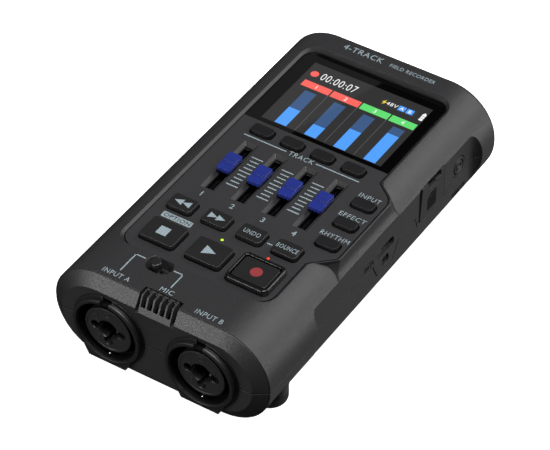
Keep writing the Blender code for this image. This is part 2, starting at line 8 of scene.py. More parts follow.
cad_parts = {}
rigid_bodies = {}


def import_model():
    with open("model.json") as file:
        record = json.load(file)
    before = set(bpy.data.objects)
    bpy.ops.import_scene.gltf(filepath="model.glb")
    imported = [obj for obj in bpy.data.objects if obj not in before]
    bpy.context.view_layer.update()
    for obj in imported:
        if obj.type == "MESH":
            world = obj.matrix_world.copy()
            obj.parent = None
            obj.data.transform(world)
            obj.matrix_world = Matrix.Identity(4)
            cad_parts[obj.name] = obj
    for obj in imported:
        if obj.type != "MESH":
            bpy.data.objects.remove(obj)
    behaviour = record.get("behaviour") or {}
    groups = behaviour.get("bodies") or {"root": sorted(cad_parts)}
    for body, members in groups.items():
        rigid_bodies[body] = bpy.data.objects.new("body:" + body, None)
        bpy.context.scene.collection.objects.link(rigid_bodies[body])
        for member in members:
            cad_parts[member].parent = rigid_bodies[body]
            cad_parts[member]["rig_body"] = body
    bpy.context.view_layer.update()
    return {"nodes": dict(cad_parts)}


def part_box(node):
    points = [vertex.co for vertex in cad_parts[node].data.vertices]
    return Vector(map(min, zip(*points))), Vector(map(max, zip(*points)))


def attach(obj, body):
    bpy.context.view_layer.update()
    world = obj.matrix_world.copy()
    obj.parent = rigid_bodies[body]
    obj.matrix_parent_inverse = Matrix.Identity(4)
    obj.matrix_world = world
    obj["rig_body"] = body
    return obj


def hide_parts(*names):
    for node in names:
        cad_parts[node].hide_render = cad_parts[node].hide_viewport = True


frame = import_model()

# Sizes below are in millimetres; meshes are scaled to metres when they are made.
mm = 0.001


# places read from the frame

def spot(node):
    low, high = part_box(node)
    return low / mm, high / mm, (low + high) / (2 * mm)


def bodyOf(node):
    return frame["nodes"][node]["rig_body"]


# outlines

def roundedOutline(corners, steps=8):
    # corners are (u, v, radius); each radius becomes an arc
    points = []
    for index, (u, v, radius) in enumerate(corners):
        if radius <= 0:
            points.append((u, v))
            continue
        corner = Vector((u, v))
        before = (Vector(corners[index - 1][:2]) - corner).normalized()
        after = (Vector(corners[(index + 1) % len(corners)][:2]) - corner).normalized()
        half = math.acos(max(-1, min(1, before.dot(after)))) / 2
        centre = corner + (before + after).normalized() * (radius / math.sin(half))
        first = corner + before * (radius / math.tan(half)) - centre
        last = corner + after * (radius / math.tan(half)) - centre
        start = math.atan2(first.y, first.x)
        sweep = (math.atan2(last.y, last.x) - start + math.pi) % (2 * math.pi) - math.pi
        for step in range(steps + 1):
            angle = start + sweep * step / steps
            points.append((centre.x + radius * math.cos(angle), centre.y + radius * math.sin(angle)))
    return points


def rectangle(width, length, radius=0, centre=(0, 0), steps=6):
    u, v = width / 2, length / 2
    corners = [(-u, -v), (u, -v), (u, v), (-u, v)]
    return roundedOutline([(a + centre[0], b + centre[1], radius) for a, b in corners], steps)


def circle(radius, centre=(0, 0), steps=48):
    turn = 2 * math.pi / steps
    return [(centre[0] + radius * math.cos(turn * k), centre[1] + radius * math.sin(turn * k))
            for k in range(steps)]


# meshes: an outline's (u, v) and its height w land on the axes below

axisTurns = {
    "Z": Matrix(((1, 0, 0), (0, 1, 0), (0, 0, 1))).to_4x4(),
    "Y": Matrix(((1, 0, 0), (0, 0, 1), (0, 1, 0))).to_4x4(),
    "X": Matrix(((0, 0, 1), (1, 0, 0), (0, 1, 0))).to_4x4(),
}


def closeMesh(bm, axis="Z"):
    bm.transform(axisTurns[axis] @ Matrix.Scale(mm, 4))
    bmesh.ops.recalc_face_normals(bm, faces=bm.faces)
    if bm.calc_volume(signed=True) < 0:
        bmesh.ops.reverse_faces(bm, faces=bm.faces)
    mesh = bpy.data.meshes.new("shape")
    bm.to_mesh(mesh)
    bm.free()
    return mesh


def loft(rings, axis="Z", hollow=False):
    # rings of equally many (u, v, w) points; hollow joins the last ring to the first
    bm = bmesh.new()
    rows = [[bm.verts.new(point) for point in ring] for ring in rings]
    pairs = list(zip(rows, rows[1:])) + ([(rows[-1], rows[0])] if hollow else [])
    for lower, upper in pairs:
        for k in range(len(lower)):
            after = (k + 1) % len(lower)
            bm.faces.new((lower[k], lower[after], upper[after], upper[k]))
    if not hollow:
        bm.faces.new(rows[0][::-1])
        bm.faces.new(rows[-1])
    return closeMesh(bm, axis)


def plate(outline, low, high, axis="Z"):
    return loft([[(u, v, w) for u, v in outline] for w in (low, high)], axis)


def stack(levels, axis="Z", centre=(0, 0), steps=6):
    # rounded rectangles (height, width, length, radius) one on another
    return loft([[(u, v, height) for u, v in rectangle(width, length, radius, centre, steps)]
                 for height, width, length, radius in levels], axis)


def turned(levels, axis="Z", centre=(0, 0), steps=48):
    return loft([[(u, v, height) for u, v in circle(radius, centre, steps)]
                 for height, radius in levels], axis)


def turnedRing(profile, axis="Z", centre=(0, 0), steps=96):
    # a closed (height, radius) profile swept round the axis
    return loft([[(u, v, height) for u, v in circle(radius, centre, steps)]
                 for height, radius in profile], axis, hollow=True)


def softBlock(width, length, low, high, corner, edge, draft=0.0, steps=5):
    # levels of a block whose top edge is rounded by edge, with walls that widen downwards by draft
    levels = [(low, width + 2 * draft, length + 2 * draft, corner + draft)]
    for step in range(steps + 1):
        angle = math.pi / 2 * step / steps
        inset = edge * (1 - math.cos(angle))
        height = high - edge * (1 - math.sin(angle))
        levels.append((height, width - 2 * inset, length - 2 * inset, max(corner - inset, 0.06)))
    return levels


def softDisc(radius, low, high, edge, steps=5):
    levels = [(low, radius)]
    for step in range(steps + 1):
        angle = math.pi / 2 * step / steps
        levels.append((high - edge * (1 - math.sin(angle)), radius - edge * (1 - math.cos(angle))))
    return levels


def moved(mesh, place):
    mesh.transform(Matrix.Translation([value * mm for value in place]))
    return mesh


def joined(meshes):
    bm = bmesh.new()
    for mesh in meshes:
        bm.from_mesh(mesh)
    mesh = bpy.data.meshes.new("shape")
    bm.to_mesh(mesh)
    bm.free()
    return mesh


# pieces

def newObject(name, mesh):
    obj = bpy.data.objects.new(name, mesh)
    bpy.context.scene.collection.objects.link(obj)
    return obj


def applyModifiers(obj):
    bpy.context.view_layer.update()
    mesh = bpy.data.meshes.new_from_object(obj.evaluated_get(bpy.context.evaluated_depsgraph_get()))
    obj.modifiers.clear()
    obj.data = mesh
    return obj


def cut(mesh):
    return "DIFFERENCE", mesh


def weld(mesh):
    return "UNION", mesh


def keep(mesh):
    return "INTERSECT", mesh


def carve(obj, steps):
    # steps come from cut, weld and keep, and are taken in order
    cutters = []
    for operation, mesh in steps:
        cutter = newObject("cutter", mesh)
        modifier = obj.modifiers.new("carve", "BOOLEAN")
        modifier.operation = operation
        modifier.solver = "EXACT"
        modifier.object = cutter
        cutters.append(cutter)
    applyModifiers(obj)
    for cutter in cutters:
        bpy.data.objects.remove(cutter, do_unlink=True)
    return obj


def roundEdges(obj, width, angle=32):
    bm = bmesh.new()
    bm.from_mesh(obj.data)
    bmesh.ops.remove_doubles(bm, verts=bm.verts, dist=0.02 * mm)
    bmesh.ops.dissolve_limit(bm, angle_limit=math.radians(0.4), verts=bm.verts, edges=bm.edges)
    sharp = [edge for edge in bm.edges
             if len(edge.link_faces) == 2 and edge.calc_face_angle(0) > math.radians(angle)]
    bmesh.ops.bevel(bm, geom=sharp, offset=width * mm, offset_type="OFFSET", segments=2,
                    profile=0.5, affect="EDGES", clamp_overlap=False, loop_slide=True)
    bmesh.ops.remove_doubles(bm, verts=bm.verts, dist=0.002 * mm)
    bm.to_mesh(obj.data)
    bm.free()
    return obj


def settle(obj, finish, body, nodes=(), smooth=38):
    # last step of every piece: material, shading, and what it rides on
    obj.data.materials.clear()
    obj.data.materials.append(finishes[finish])
    obj.data.shade_smooth()
    obj.data.set_sharp_from_angle(angle=math.radians(smooth))
    modifier = obj.modifiers.new("flatten", "WEIGHTED_NORMAL")
    modifier.keep_sharp = True
    applyModifiers(obj)
    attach(obj, body)
    if nodes:
        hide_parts(*nodes)
    return obj


# Geometry Nodes

def startTree(name, inputs):
    tree = bpy.data.node_groups.new(name, "GeometryNodeTree")
    for label, kind, value in inputs:
        socket = tree.interface.new_socket(label, in_out="INPUT", socket_type="NodeSocket" + kind)
        if value is not None:
            socket.default_value = value
    tree.interface.new_socket("Geometry", in_out="OUTPUT", socket_type="NodeSocketGeometry")
    return tree, tree.nodes.new("NodeGroupInput")


def addNode(tree, kind, links=(), **values):
    # links pairs an input's name or number with the socket that feeds it
    node = tree.nodes.new(kind)
    for key, value in values.items():
        setattr(node, key, value)
    for key, source in dict(links).items():
        if isinstance(source, bpy.types.NodeSocket):
            tree.links.new(source, node.inputs[key])
        else:
            node.inputs[key].default_value = source
    return node


def endTree(tree, geometry, material):
    real = addNode(tree, "GeometryNodeRealizeInstances", {"Geometry": geometry})
    painted = addNode(tree, "GeometryNodeSetMaterial", {"Geometry": real.outputs[0], "Material": material})
    addNode(tree, "NodeGroupOutput", {"Geometry": painted.outputs[0]})
    return tree


def grow(name, tree, values, base=None):
    # runs a tree on an object of its own and keeps the result as a plain mesh
    obj = newObject(name, base or bpy.data.meshes.new(name))
    modifier = obj.modifiers.new("grow", "NODES")
    modifier.node_group = tree
    for item in tree.interface.items_tree:
        if item.in_out == "INPUT" and item.name in values:
            modifier[item.identifier] = values[item.name]
    return applyModifiers(obj)


def markTree():
    # rows of flat marks in columns; every fourth row is long
    tree, entry = startTree("scaleMarks", [
        ("Rows", "Int", 9), ("Row Pitch", "Float", 0.0017), ("Columns", "Int", 3),
        ("Column Pitch", "Float", 0.01), ("Long", "Float", 0.0039), ("Short", "Float", 0.0029),
        ("Width", "Float", 0.0004), ("Thickness", "Float", 0.00006), ("Place", "Vector", (0, 0, 0)),
        ("Material", "Material", None)])
    given = entry.outputs
    down = addNode(tree, "ShaderNodeMath", {0: given["Row Pitch"], 1: -1.0}, operation="MULTIPLY")
    offset = addNode(tree, "ShaderNodeCombineXYZ", {"Y": down.outputs[0]})
    rows = addNode(tree, "GeometryNodeMeshLine", {"Count": given["Rows"], "Offset": offset.outputs[0]})
    index = addNode(tree, "GeometryNodeInputIndex")
    phase = addNode(tree, "ShaderNodeMath", {0: index.outputs[0], 1: 4.0}, operation="MODULO")
    isLong = addNode(tree, "ShaderNodeMath", {0: phase.outputs[0], 1: 0.5}, operation="LESS_THAN")
    length = addNode(tree, "ShaderNodeMapRange",
                     {"Value": isLong.outputs[0], "To Min": given["Short"], "To Max": given["Long"]})
    size = addNode(tree, "ShaderNodeCombineXYZ",
                   {"X": length.outputs[0], "Y": given["Width"], "Z": given["Thickness"]})
    bar = addNode(tree, "GeometryNodeMeshCube", {"Size": (1, 1, 1)})
    marks = addNode(tree, "GeometryNodeInstanceOnPoints",
                    {"Points": rows.outputs[0], "Instance": bar.outputs[0], "Scale": size.outputs[0]})
    across = addNode(tree, "ShaderNodeCombineXYZ", {"X": given["Column Pitch"]})
    columns = addNode(tree, "GeometryNodeMeshLine", {
        "Count": given["Columns"], "Start Location": given["Place"], "Offset": across.outputs[0]})
    whole = addNode(tree, "GeometryNodeInstanceOnPoints",
                    {"Points": columns.outputs[0], "Instance": marks.outputs[0]})
    return endTree(tree, whole.outputs[0], given["Material"])


def ribTree():
    # a row of rounded ribs, each along the tree's Turn, spaced by Offset from Start
    tree, entry = startTree("ribRow", [
        ("Count", "Int", 6), ("Start", "Vector", (0, 0, 0)), ("Offset", "Vector", (0, 0.001, 0)),
        ("Length", "Float", 0.01), ("Radius", "Float", 0.0003), ("Turn", "Vector", (0, 1.5708, 0)),
        ("Material", "Material", None)])
    given = entry.outputs
    rib = addNode(tree, "GeometryNodeMeshCylinder",
                  {"Vertices": 14, "Radius": given["Radius"], "Depth": given["Length"]})
    row = addNode(tree, "GeometryNodeMeshLine",
                  {"Count": given["Count"], "Start Location": given["Start"], "Offset": given["Offset"]})
    ribs = addNode(tree, "GeometryNodeInstanceOnPoints",
                   {"Points": row.outputs[0], "Instance": rib.outputs[0], "Rotation": given["Turn"]})
    return endTree(tree, ribs.outputs[0], given["Material"])


def knurlTree():
    # ribs round a wheel whose axis is Z
    tree, entry = startTree("knurl", [
        ("Count", "Int", 48), ("Wheel Radius", "Float", 0.008), ("Rib Radius", "Float", 0.0002),
        ("Width", "Float", 0.002), ("Centre", "Vector", (0, 0, 0)), ("Material", "Material", None)])
    given = entry.outputs
    ring = addNode(tree, "GeometryNodeMeshCircle",
                   {"Vertices": given["Count"], "Radius": given["Wheel Radius"]})
    rib = addNode(tree, "GeometryNodeMeshCylinder",
                  {"Vertices": 8, "Radius": given["Rib Radius"], "Depth": given["Width"]})
    ribs = addNode(tree, "GeometryNodeInstanceOnPoints",
                   {"Points": ring.outputs[0], "Instance": rib.outputs[0]})
    placed = addNode(tree, "GeometryNodeTransform",
                     {"Geometry": ribs.outputs[0], "Translation": given["Centre"]})
    return endTree(tree, placed.outputs[0], given["Material"])


def screwTree():
    # one screw head at each point of the base mesh
    tree, entry = startTree("screwSet", [
        ("Geometry", "Geometry", None), ("Screw", "Object", None), ("Turn", "Vector", (0, 0, 0)),
        ("Material", "Material", None)])
    given = entry.outputs
    head = addNode(tree, "GeometryNodeObjectInfo", {"Object": given["Screw"]})
    heads = addNode(tree, "GeometryNodeInstanceOnPoints", {
        "Points": given["Geometry"], "Instance": head.outputs["Geometry"], "Rotation": given["Turn"]})
    return endTree(tree, heads.outputs[0], given["Material"])


def threadTree():
    # a helix swept by a three-sided profile, for the tripod thread
    tree, entry = startTree("thread", [
        ("Turns", "Float", 6.0), ("Radius", "Float", 0.003), ("Height", "Float", 0.008),
        ("Depth", "Float", 0.0004), ("Place", "Vector", (0, 0, 0)), ("Material", "Material", None)])
    given = entry.outputs
    helix = addNode(tree, "GeometryNodeCurveSpiral",
                    {"Resolution": 28, "Rotations": given["Turns"], "Start Radius": given["Radius"],
                     "End Radius": given["Radius"], "Height": given["Height"]})
    section = addNode(tree, "GeometryNodeCurvePrimitiveCircle", {"Resolution": 3, "Radius": given["Depth"]})
    swept = addNode(tree, "GeometryNodeCurveToMesh",
                    {"Curve": helix.outputs[0], "Profile Curve": section.outputs[0], "Fill Caps": True})
    placed = addNode(tree, "GeometryNodeTransform",
                     {"Geometry": swept.outputs[0], "Translation": given["Place"]})
    return endTree(tree, placed.outputs[0], given["Material"])


trees = {"marks": markTree(), "ribs": ribTree(), "knurl": knurlTree(), "screws": screwTree(),
         "thread": threadTree()}
print("node trees ready")


# materials

def tone(red, green, blue):
    # display values from 0 to 255 as linear light
    def linear(value):
        value /= 255
        return value / 12.92 if value <= 0.04045 else ((value + 0.055) / 1.055) ** 2.4
    return linear(red), linear(green), linear(blue)


def moulded(name, colour, roughness, grain=0.4, relief=0.010, mottle=0.06, swing=0.05, edge=0.0,
            metallic=0.0, specular=0.5):
    # moulded plastic, rubber or plated metal: grain is the texture's size and relief its depth
    material = bpy.data.materials.new(name)
    material.use_nodes = True
    tree = material.node_tree
    shader = tree.nodes["Principled BSDF"]
    shader.inputs["Metallic"].default_value = metallic
    shader.inputs["Specular IOR Level"].default_value = specular
    where = addNode(tree, "ShaderNodeTexCoord").outputs["Object"]
    fine = addNode(tree, "ShaderNodeTexNoise",
                   {"Vector": where, "Scale": 1 / (grain * mm), "Detail": 2.0, "Roughness": 0.6})
    broad = addNode(tree, "ShaderNodeTexNoise", {"Vector": where, "Scale": 1 / (14 * mm), "Detail": 4.0})
    blend = addNode(tree, "ShaderNodeMix", {"Factor": broad.outputs[0]}, data_type="RGBA")
    blend.inputs["A"].default_value = (*[channel * (1 - mottle) for channel in colour], 1)
    blend.inputs["B"].default_value = (*[min(channel * (1 + mottle), 1) for channel in colour], 1)
    tree.links.new(blend.outputs["Result"], shader.inputs["Base Color"])
    gloss = addNode(tree, "ShaderNodeMapRange",
                    {"Value": fine.outputs[0], "From Min": 0.3, "From Max": 0.7,
                     "To Min": roughness - swing, "To Max": roughness + swing})
    tree.links.new(gloss.outputs[0], shader.inputs["Roughness"])
    bump = addNode(tree, "ShaderNodeBump", {"Height": fine.outputs[0], "Distance": relief * mm})
    if edge:
        rounding = addNode(tree, "ShaderNodeBevel", samples=4)
        rounding.inputs["Radius"].default_value = edge * mm
        tree.links.new(rounding.outputs[0], bump.inputs["Normal"])
    tree.links.new(bump.outputs[0], shader.inputs["Normal"])
    return material


def lit(name, colour, strength=1.0, roughness=0.02):
    # a lit surface under a clear gloss, with the display's fine dot rows
    material = bpy.data.materials.new(name)
    material.use_nodes = True
    tree = material.node_tree
    shader = tree.nodes["Principled BSDF"]
    shader.inputs["Base Color"].default_value = (0.004, 0.004, 0.004, 1)
    shader.inputs["Roughness"].default_value = roughness
    shader.inputs["Emission Strength"].default_value = strength
    where = addNode(tree, "ShaderNodeTexCoord").outputs["Object"]
    grid = addNode(tree, "ShaderNodeTexWave", {"Vector": where, "Scale": 1 / (0.9 * mm), "Distortion": 0.0})
    blend = addNode(tree, "ShaderNodeMix", {"Factor": grid.outputs["Fac"]}, data_type="RGBA")
    blend.inputs["A"].default_value = (*[channel * 0.96 for channel in colour], 1)
    blend.inputs["B"].default_value = (*[channel * 1.04 for channel in colour], 1)
    tree.links.new(blend.outputs["Result"], shader.inputs["Emission Color"])
    return material


finishes = {
    "case": moulded("caseCharcoal", (0.0130, 0.0129, 0.0142), 0.46, grain=0.42, relief=0.075, edge=0.20),
    "grille": moulded("grilleCharcoal", (0.0230, 0.0230, 0.0235), 0.44, grain=0.42, relief=0.045),
    "door": moulded("doorCharcoal", (0.0135, 0.0135, 0.0140), 0.48, grain=0.42, relief=0.030),
    "panel": moulded("panelSlate", (0.0168, 0.0168, 0.0184), 0.48, grain=0.30, relief=0.012, edge=0.10),
    "key": moulded("keyRubber", (0.0076, 0.0076, 0.0078), 0.37, grain=0.35, relief=0.001, swing=0.03),
    "button": moulded("buttonRubber", (0.0038, 0.0038, 0.0046), 0.50, grain=0.35, relief=0.001,
                      specular=0.28),
    "guard": moulded("guardBlack", (0.0036, 0.0036, 0.0040), 0.26, grain=0.35, relief=0.001, swing=0.03),
    # painted shade: near-black with low specular, lining the socket bores and darkening the embossed side
    # lettering and card icon in place of their relief shading
    "hollow": moulded("paintedShadeBlack", (0.0015, 0.0015, 0.0016), 0.60, grain=0.35, relief=0.002, specular=0.12),
    "fader": moulded("faderBlue", (0.0068, 0.0165, 0.1500), 0.38, grain=0.50, relief=0.001, mottle=0.04),
    "stem": moulded("stemBlack", (0.004, 0.004, 0.004), 0.45, grain=0.35, relief=0.004),
    "rubber": moulded("rubberBlack", (0.014, 0.014, 0.0145), 0.78, grain=0.30, relief=0.012),
    "flap": moulded("flapRubber", (0.0125, 0.0125, 0.0130), 0.55, grain=0.35, relief=0.012, edge=0.12),
    "socket": moulded("socketNylon", (0.0105, 0.0105, 0.0122), 0.42, grain=0.30, relief=0.006, edge=0.08),
    "ring": moulded("ringNylon", (0.0045, 0.0045, 0.0052), 0.46, grain=0.30, relief=0.004, specular=0.4),
    "glass": moulded("screenGlass", (0.001, 0.001, 0.001), 0.016, grain=6.0, relief=0.0, swing=0.002),
    "ink": moulded("legendInk", (0.200, 0.248, 0.272), 0.55, grain=0.25, relief=0.003, mottle=0.05),
    "inkRed": moulded("recordInk", (0.190, 0.020, 0.024), 0.50, grain=0.25, relief=0.003, mottle=0.05),
    "inkDark": moulded("darkInk", (0.010, 0.010, 0.011), 0.55, grain=0.25, relief=0.003),
    "metal": moulded("nickel", (0.60, 0.59, 0.56), 0.28, grain=0.60, relief=0.001, metallic=1.0),
    "steel": moulded("steelBlack", (0.055, 0.055, 0.058), 0.36, grain=0.50, relief=0.002, metallic=1.0),
    "brass": moulded("brass", (0.72, 0.52, 0.24), 0.30, grain=0.60, relief=0.002, metallic=1.0),
    "board": moulded("boardGreen", (0.015, 0.105, 0.050), 0.48, grain=1.20, relief=0.010, mottle=0.20),
    "cell": moulded("cellSleeve", (0.24, 0.25, 0.28), 0.32, grain=0.80, relief=0.002, metallic=0.5),
}
displayTones = {
    "lcdGround": (47, 47, 48), "lcdBlue": (82, 162, 255), "lcdDim": (60, 90, 134), "lcdLine": (96, 98, 102),
    "lcdRed": (255, 104, 96), "lcdGreen": (100, 224, 116), "lcdWhite": (250, 250, 250),
    "lcdYellow": (250, 225, 60),
}
for name, colour in displayTones.items():
    finishes[name] = lit(name, tone(*colour))
finishes["ledGreen"] = lit("ledGreen", tone(196, 255, 20), 1.4)
finishes["ledRed"] = lit("ledRed", tone(255, 60, 20), 1.6)
print("materials ready:", len(finishes))


# camera, lights and floor

cameraSet = {
    "aim": (5.476, -11.411, 28.770), "distance": 791.276, "azimuth": 32.589, "elevation": 42.558,
    "roll": 0.131, "lens": 182.79,
}


def directionFrom(azimuth, elevation):
    a, e = math.radians(azimuth), math.radians(elevation)
    return Vector((math.sin(a) * math.cos(e), -math.cos(a) * math.cos(e), math.sin(e)))


def makeCamera():
    data = bpy.data.cameras.new("camera")
    data.sensor_width = 36
    data.lens = cameraSet["lens"]
    data.clip_start, data.clip_end = 0.05, 20
    camera = bpy.data.objects.new("camera", data)
    bpy.context.scene.collection.objects.link(camera)
    back = directionFrom(cameraSet["azimuth"], cameraSet["elevation"])
    turn = back.to_track_quat("Z", "Y").to_matrix() @ Matrix.Rotation(math.radians(cameraSet["roll"]), 3, "Z")
    place = (Vector(cameraSet["aim"]) + back * cameraSet["distance"]) * mm
    camera.matrix_world = Matrix.Translation(place) @ turn.to_4x4()
    bpy.context.scene.camera = camera


lightSet = {  # direction from the recorder, distance, width, height, power, colour
    "shoulderLight": ((0.535, 0.62, 0.57), 1.0, 0.74, 0.60, 5.7, (1.0, 0.985, 0.97)),
    "flareLight": ((0.80, 0.62, -0.02), 1.0, 0.34, 0.24, 2.3, (1.0, 0.985, 0.97)),
    "sideLight": ((0.42, 0.62, -0.66), 1.0, 0.80, 0.80, 0.60, (1.0, 0.985, 0.97)),
    "bevelLight": ((-0.40, -0.89, 0.24), 1.0, 0.60, 0.18, 5.9, (1.0, 0.99, 0.98)),
    "topLight": ((0.25, -0.15, 0.95), 1.3, 0.70, 0.70, 23.0, (1.0, 1.0, 1.0)),
    "tableGlow": ((-0.40, -0.62, -0.68), 1.2, 1.10, 1.10, 0.42, (1.0, 1.0, 1.0)),
}
glareCard = {"edge": ((1.69, 53.68), (-4.72, 32.0)), "reach": 700, "size": 900, "power": 0.48}
stageSet = {"floor": 6.0, "floorTone": 0.80, "floorGlow": 1.0, "world": 0.010}


def addLight(name, width, height, power, colour, place):
    data = bpy.data.lights.new(name, "AREA")
    data.shape = "RECTANGLE"
    data.size, data.size_y = width, height
    data.energy = power
    data.color = colour
    light = bpy.data.objects.new(name, data)
    bpy.context.scene.collection.objects.link(light)
    light.matrix_world = place
    light.visible_camera = False


def makeGlareCard():
    # a dim card whose mirrored edge crosses the glass along the line given in plan
    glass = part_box("screen_window")[1].z / mm
    eye = bpy.context.scene.camera.matrix_world.translation / mm
    eye.z = 2 * glass - eye.z
    ends = [Vector((x, y, glass)) for x, y in glareCard["edge"]]
    far = [end + (end - eye).normalized() * glareCard["reach"] for end in ends]
    along = (far[0] - far[1]).normalized()
    middle = (far[0] + far[1]) / 2
    way = middle - (ends[0] + ends[1]) / 2
    away = (way - along * way.dot(along)).normalized()
    side = along.cross(away)
    centre = middle - side * (glareCard["size"] / 2 if side.x > 0 else -glareCard["size"] / 2)
    turn = Matrix((side, along, away)).transposed().to_4x4()
    size = glareCard["size"] * mm
    addLight("glareCard", size, size, glareCard["power"], (1, 1, 1), Matrix.Translation(centre * mm) @ turn)


def makeStage():
    middle = Vector((0, 0, 0.02))
    for name, (direction, distance, width, height, power, colour) in lightSet.items():
        way = Vector(direction).normalized()
        turn = way.to_track_quat("Z", "Y").to_matrix().to_4x4()
        addLight(name, width, height, power, colour, Matrix.Translation(middle + way * distance) @ turn)
    makeGlareCard()
    world = bpy.data.worlds.new("studio")
    world.use_nodes = True
    world.node_tree.nodes["Background"].inputs["Color"].default_value = (1, 1, 1, 1)
    world.node_tree.nodes["Background"].inputs["Strength"].default_value = stageSet["world"]
    bpy.context.scene.world = world
    reach = stageSet["floor"] / 2
    bm = bmesh.new()
    bmesh.ops.create_grid(bm, x_segments=1, y_segments=1, size=reach)
    mesh = bpy.data.meshes.new("floor")
    bm.to_mesh(mesh)
    bm.free()
    floor = newObject("floor", mesh)
    paint = bpy.data.materials.new("floorPaint")
    paint.use_nodes = True
    shader = paint.node_tree.nodes["Principled BSDF"]
    shader.inputs["Base Color"].default_value = (*[stageSet["floorTone"]] * 3, 1)
    shader.inputs["Roughness"].default_value = 0.9
    shader.inputs["Emission Color"].default_value = (1, 1, 1, 1)
    shader.inputs["Emission Strength"].default_value = stageSet["floorGlow"]
    mesh.materials.append(paint)
    floor.visible_glossy = False
    floor.visible_diffuse = False
    floor.visible_shadow = False


makeCamera()
makeStage()
bpy.context.scene.view_settings.view_transform = "Standard"
print("camera and lights ready")


# case

case = {
    "base": 3.9, "sideRadius": 16.2, "bevelDepth": 2.55, "bevelInset": 4.2, "stepLine": 0.30,
    "rearDepth": 3.6, "rearInset": 7.8, "wall": 2.0, "parting": 20.0, "gap": 0.3,
    "flatFront": -36.25, "flatRear": 55.5, "scoop": 4.5, "flatX": 33.2,
    "tongueLow": 14.5, "deckLow": 31.6, "rimRise": 0.15, "rimSpread": 3.0,
}
shellLow, shellHigh = spot("upper_case")[:2]
panelLow, panelHigh = spot("control_panel")[:2]
panelTop = panelHigh.z


def caseSection(inset, y, steps=22):
    height = shellHigh.z - case["base"] - 2 * inset
    radius = min(max(case["sideRadius"] - inset, 0.6), height / 2 - 0.05)
    middle = (0, (shellHigh.z + case["base"]) / 2)
    return [(x, z, y) for x, z in rectangle(2 * (shellHigh.x - inset), height, radius, middle, steps)]


def caseBody(wall=0.0):
    front, rear = shellLow.y + wall, shellHigh.y - wall
    bevelEnd = shellLow.y + case["bevelDepth"] + wall
    rings = [caseSection(case["bevelInset"] + 0.6 * wall, front)]
    if wall:
        rings.append(caseSection(wall, bevelEnd))
    else:  # the bevel ends in a fine step under the case's skin
        rings.append(caseSection(case["stepLine"], bevelEnd))
        rings.append(caseSection(case["stepLine"], bevelEnd + 0.22))
        rings.append(caseSection(0, bevelEnd + 0.26))
    steps = 14
    for step in range(steps + 1):
        angle = math.pi / 2 * step / steps
        y = rear - case["rearDepth"] * (1 - math.sin(angle))
        rings.append(caseSection(wall + case["rearInset"] * (1 - math.cos(angle)), y))
    return loft(rings, "Y")


deck = {"half": 24.7, "front": -45.7, "rear": 55.1, "corner": 4.6}
platform = {"x": 31.9, "front": -19.2, "rear": 7.75, "rim": 0.7}


def panelOutline(inset=0.0, ends=(1, 1)):
    side, corner = deck["half"] - inset, deck["corner"] - inset / 2
    front, rear = deck["front"] + inset * ends[0], deck["rear"] - inset * ends[1]
    out = platform["x"] - platform["rim"] - inset
    low, high = platform["front"] + inset / 2, platform["rear"] - inset / 2
    return roundedOutline([
        (-side, front, corner), (side, front, corner), (side, low - 6.4, 1.0),
        (side + 1.2, low - 5.2, 1.0), (out, low - 0.2, 1.0), (out, high, 1.2), (out - 1.2, high + 2.3, 1.2),
        (side, high + 6.4, 1.2), (side, rear, corner), (-side, rear, corner)])


def platformOutline(flare, end):
    low, high, out = platform["front"] - end, platform["rear"] + end, platform["x"] + flare
    return roundedOutline([
        (20, low - 6.4, 0), (25.3, low - 5.6, 1.0), (out, low, 1.0), (out, high, 1.2),
        (out - 1.4, high + 2.5, 1.2), (25, high + 6.8, 0), (20, high + 6.8, 0)])


def platformBlock():
    # the raised bay under the side buttons, its walls sweeping out into the shoulder
    top = panelTop + case["rimRise"]
    levels = [  # height, flare to the side, flare at the ends
        (26.0, 2.6, 4.2), (27.6, 2.1, 3.6), (28.9, 1.6, 3.0), (29.9, 1.05, 2.5), (30.8, 0.55, 2.0),
        (31.7, 0.22, 1.5), (32.6, 0.05, 1.0), (33.5, 0.0, 0.55), (34.3, 0.0, 0.2), (top - 0.16, 0.0, 0.0),
        (top, -0.16, -0.16)]
    return loft([[(x, y, z) for x, y in platformOutline(flare, end)] for z, flare, end in levels])


def partingLine(shift):
    # the seam on the right side dips under the USB slot, the card cover and the round plug
    line, side = case["parting"] + shift, 0.9 * shift
    plug = spot("port_plug")[2]
    around = 3.9 - shift
    turns = [math.radians(turn) for turn in range(216, 325, 12)]
    collar = [(plug.y + around * math.cos(turn), plug.z + around * math.sin(turn)) for turn in turns]
    cardLow, cardHigh = spot("card_cover")[:2]
    tongue, under = case["tongueLow"] + shift, cardLow.z - 0.8 + shift
    return [
        (-3.35 + side, line), (-0.85 + side, tongue), (7.65 - side, tongue), (11.15 - side, line),
        (cardLow.y - 2.2 + side, line), (cardLow.y - 1.0 + side, under), (cardHigh.y + 1.0 - side, under),
        *collar, (plug.y + 5.2, line)]


def partingCutters(keepUpper):
    shift = case["gap"] / 2 if keepUpper else -case["gap"] / 2
    far = -10 if keepUpper else 50
    line = case["parting"] + shift
    left = [(-80, far), (80, far), (80, line), (-80, line)]
    right = [(-80, far), (80, far), (80, line), *reversed(partingLine(shift)), (-80, line)]
    return [cut(plate(left, -45, 25.2, "X")), cut(plate(right, 25, 45, "X"))]


def hollowOut():
    steps = [cut(caseBody(case["wall"]))]
    length, middle = case["flatRear"] - case["flatFront"], (case["flatRear"] + case["flatFront"]) / 2
    for side in (-1, 1):
        low, high = sorted((side * (case["flatX"] - case["wall"]), side * (case["flatX"] + 0.4)))
        steps.append(weld(plate(rectangle(length + 2, 14.4, 0, (middle, 20.2)), low, high, "X")))
        recess = roundedOutline([
            (side * case["flatX"], case["flatFront"], 2.0), (side * 50, case["flatFront"], 0),
            (side * 50, case["flatRear"], 0), (side * case["flatX"], case["flatRear"], case["scoop"])], 14)
        steps.append(cut(plate(recess, -10, 50)))
    return steps


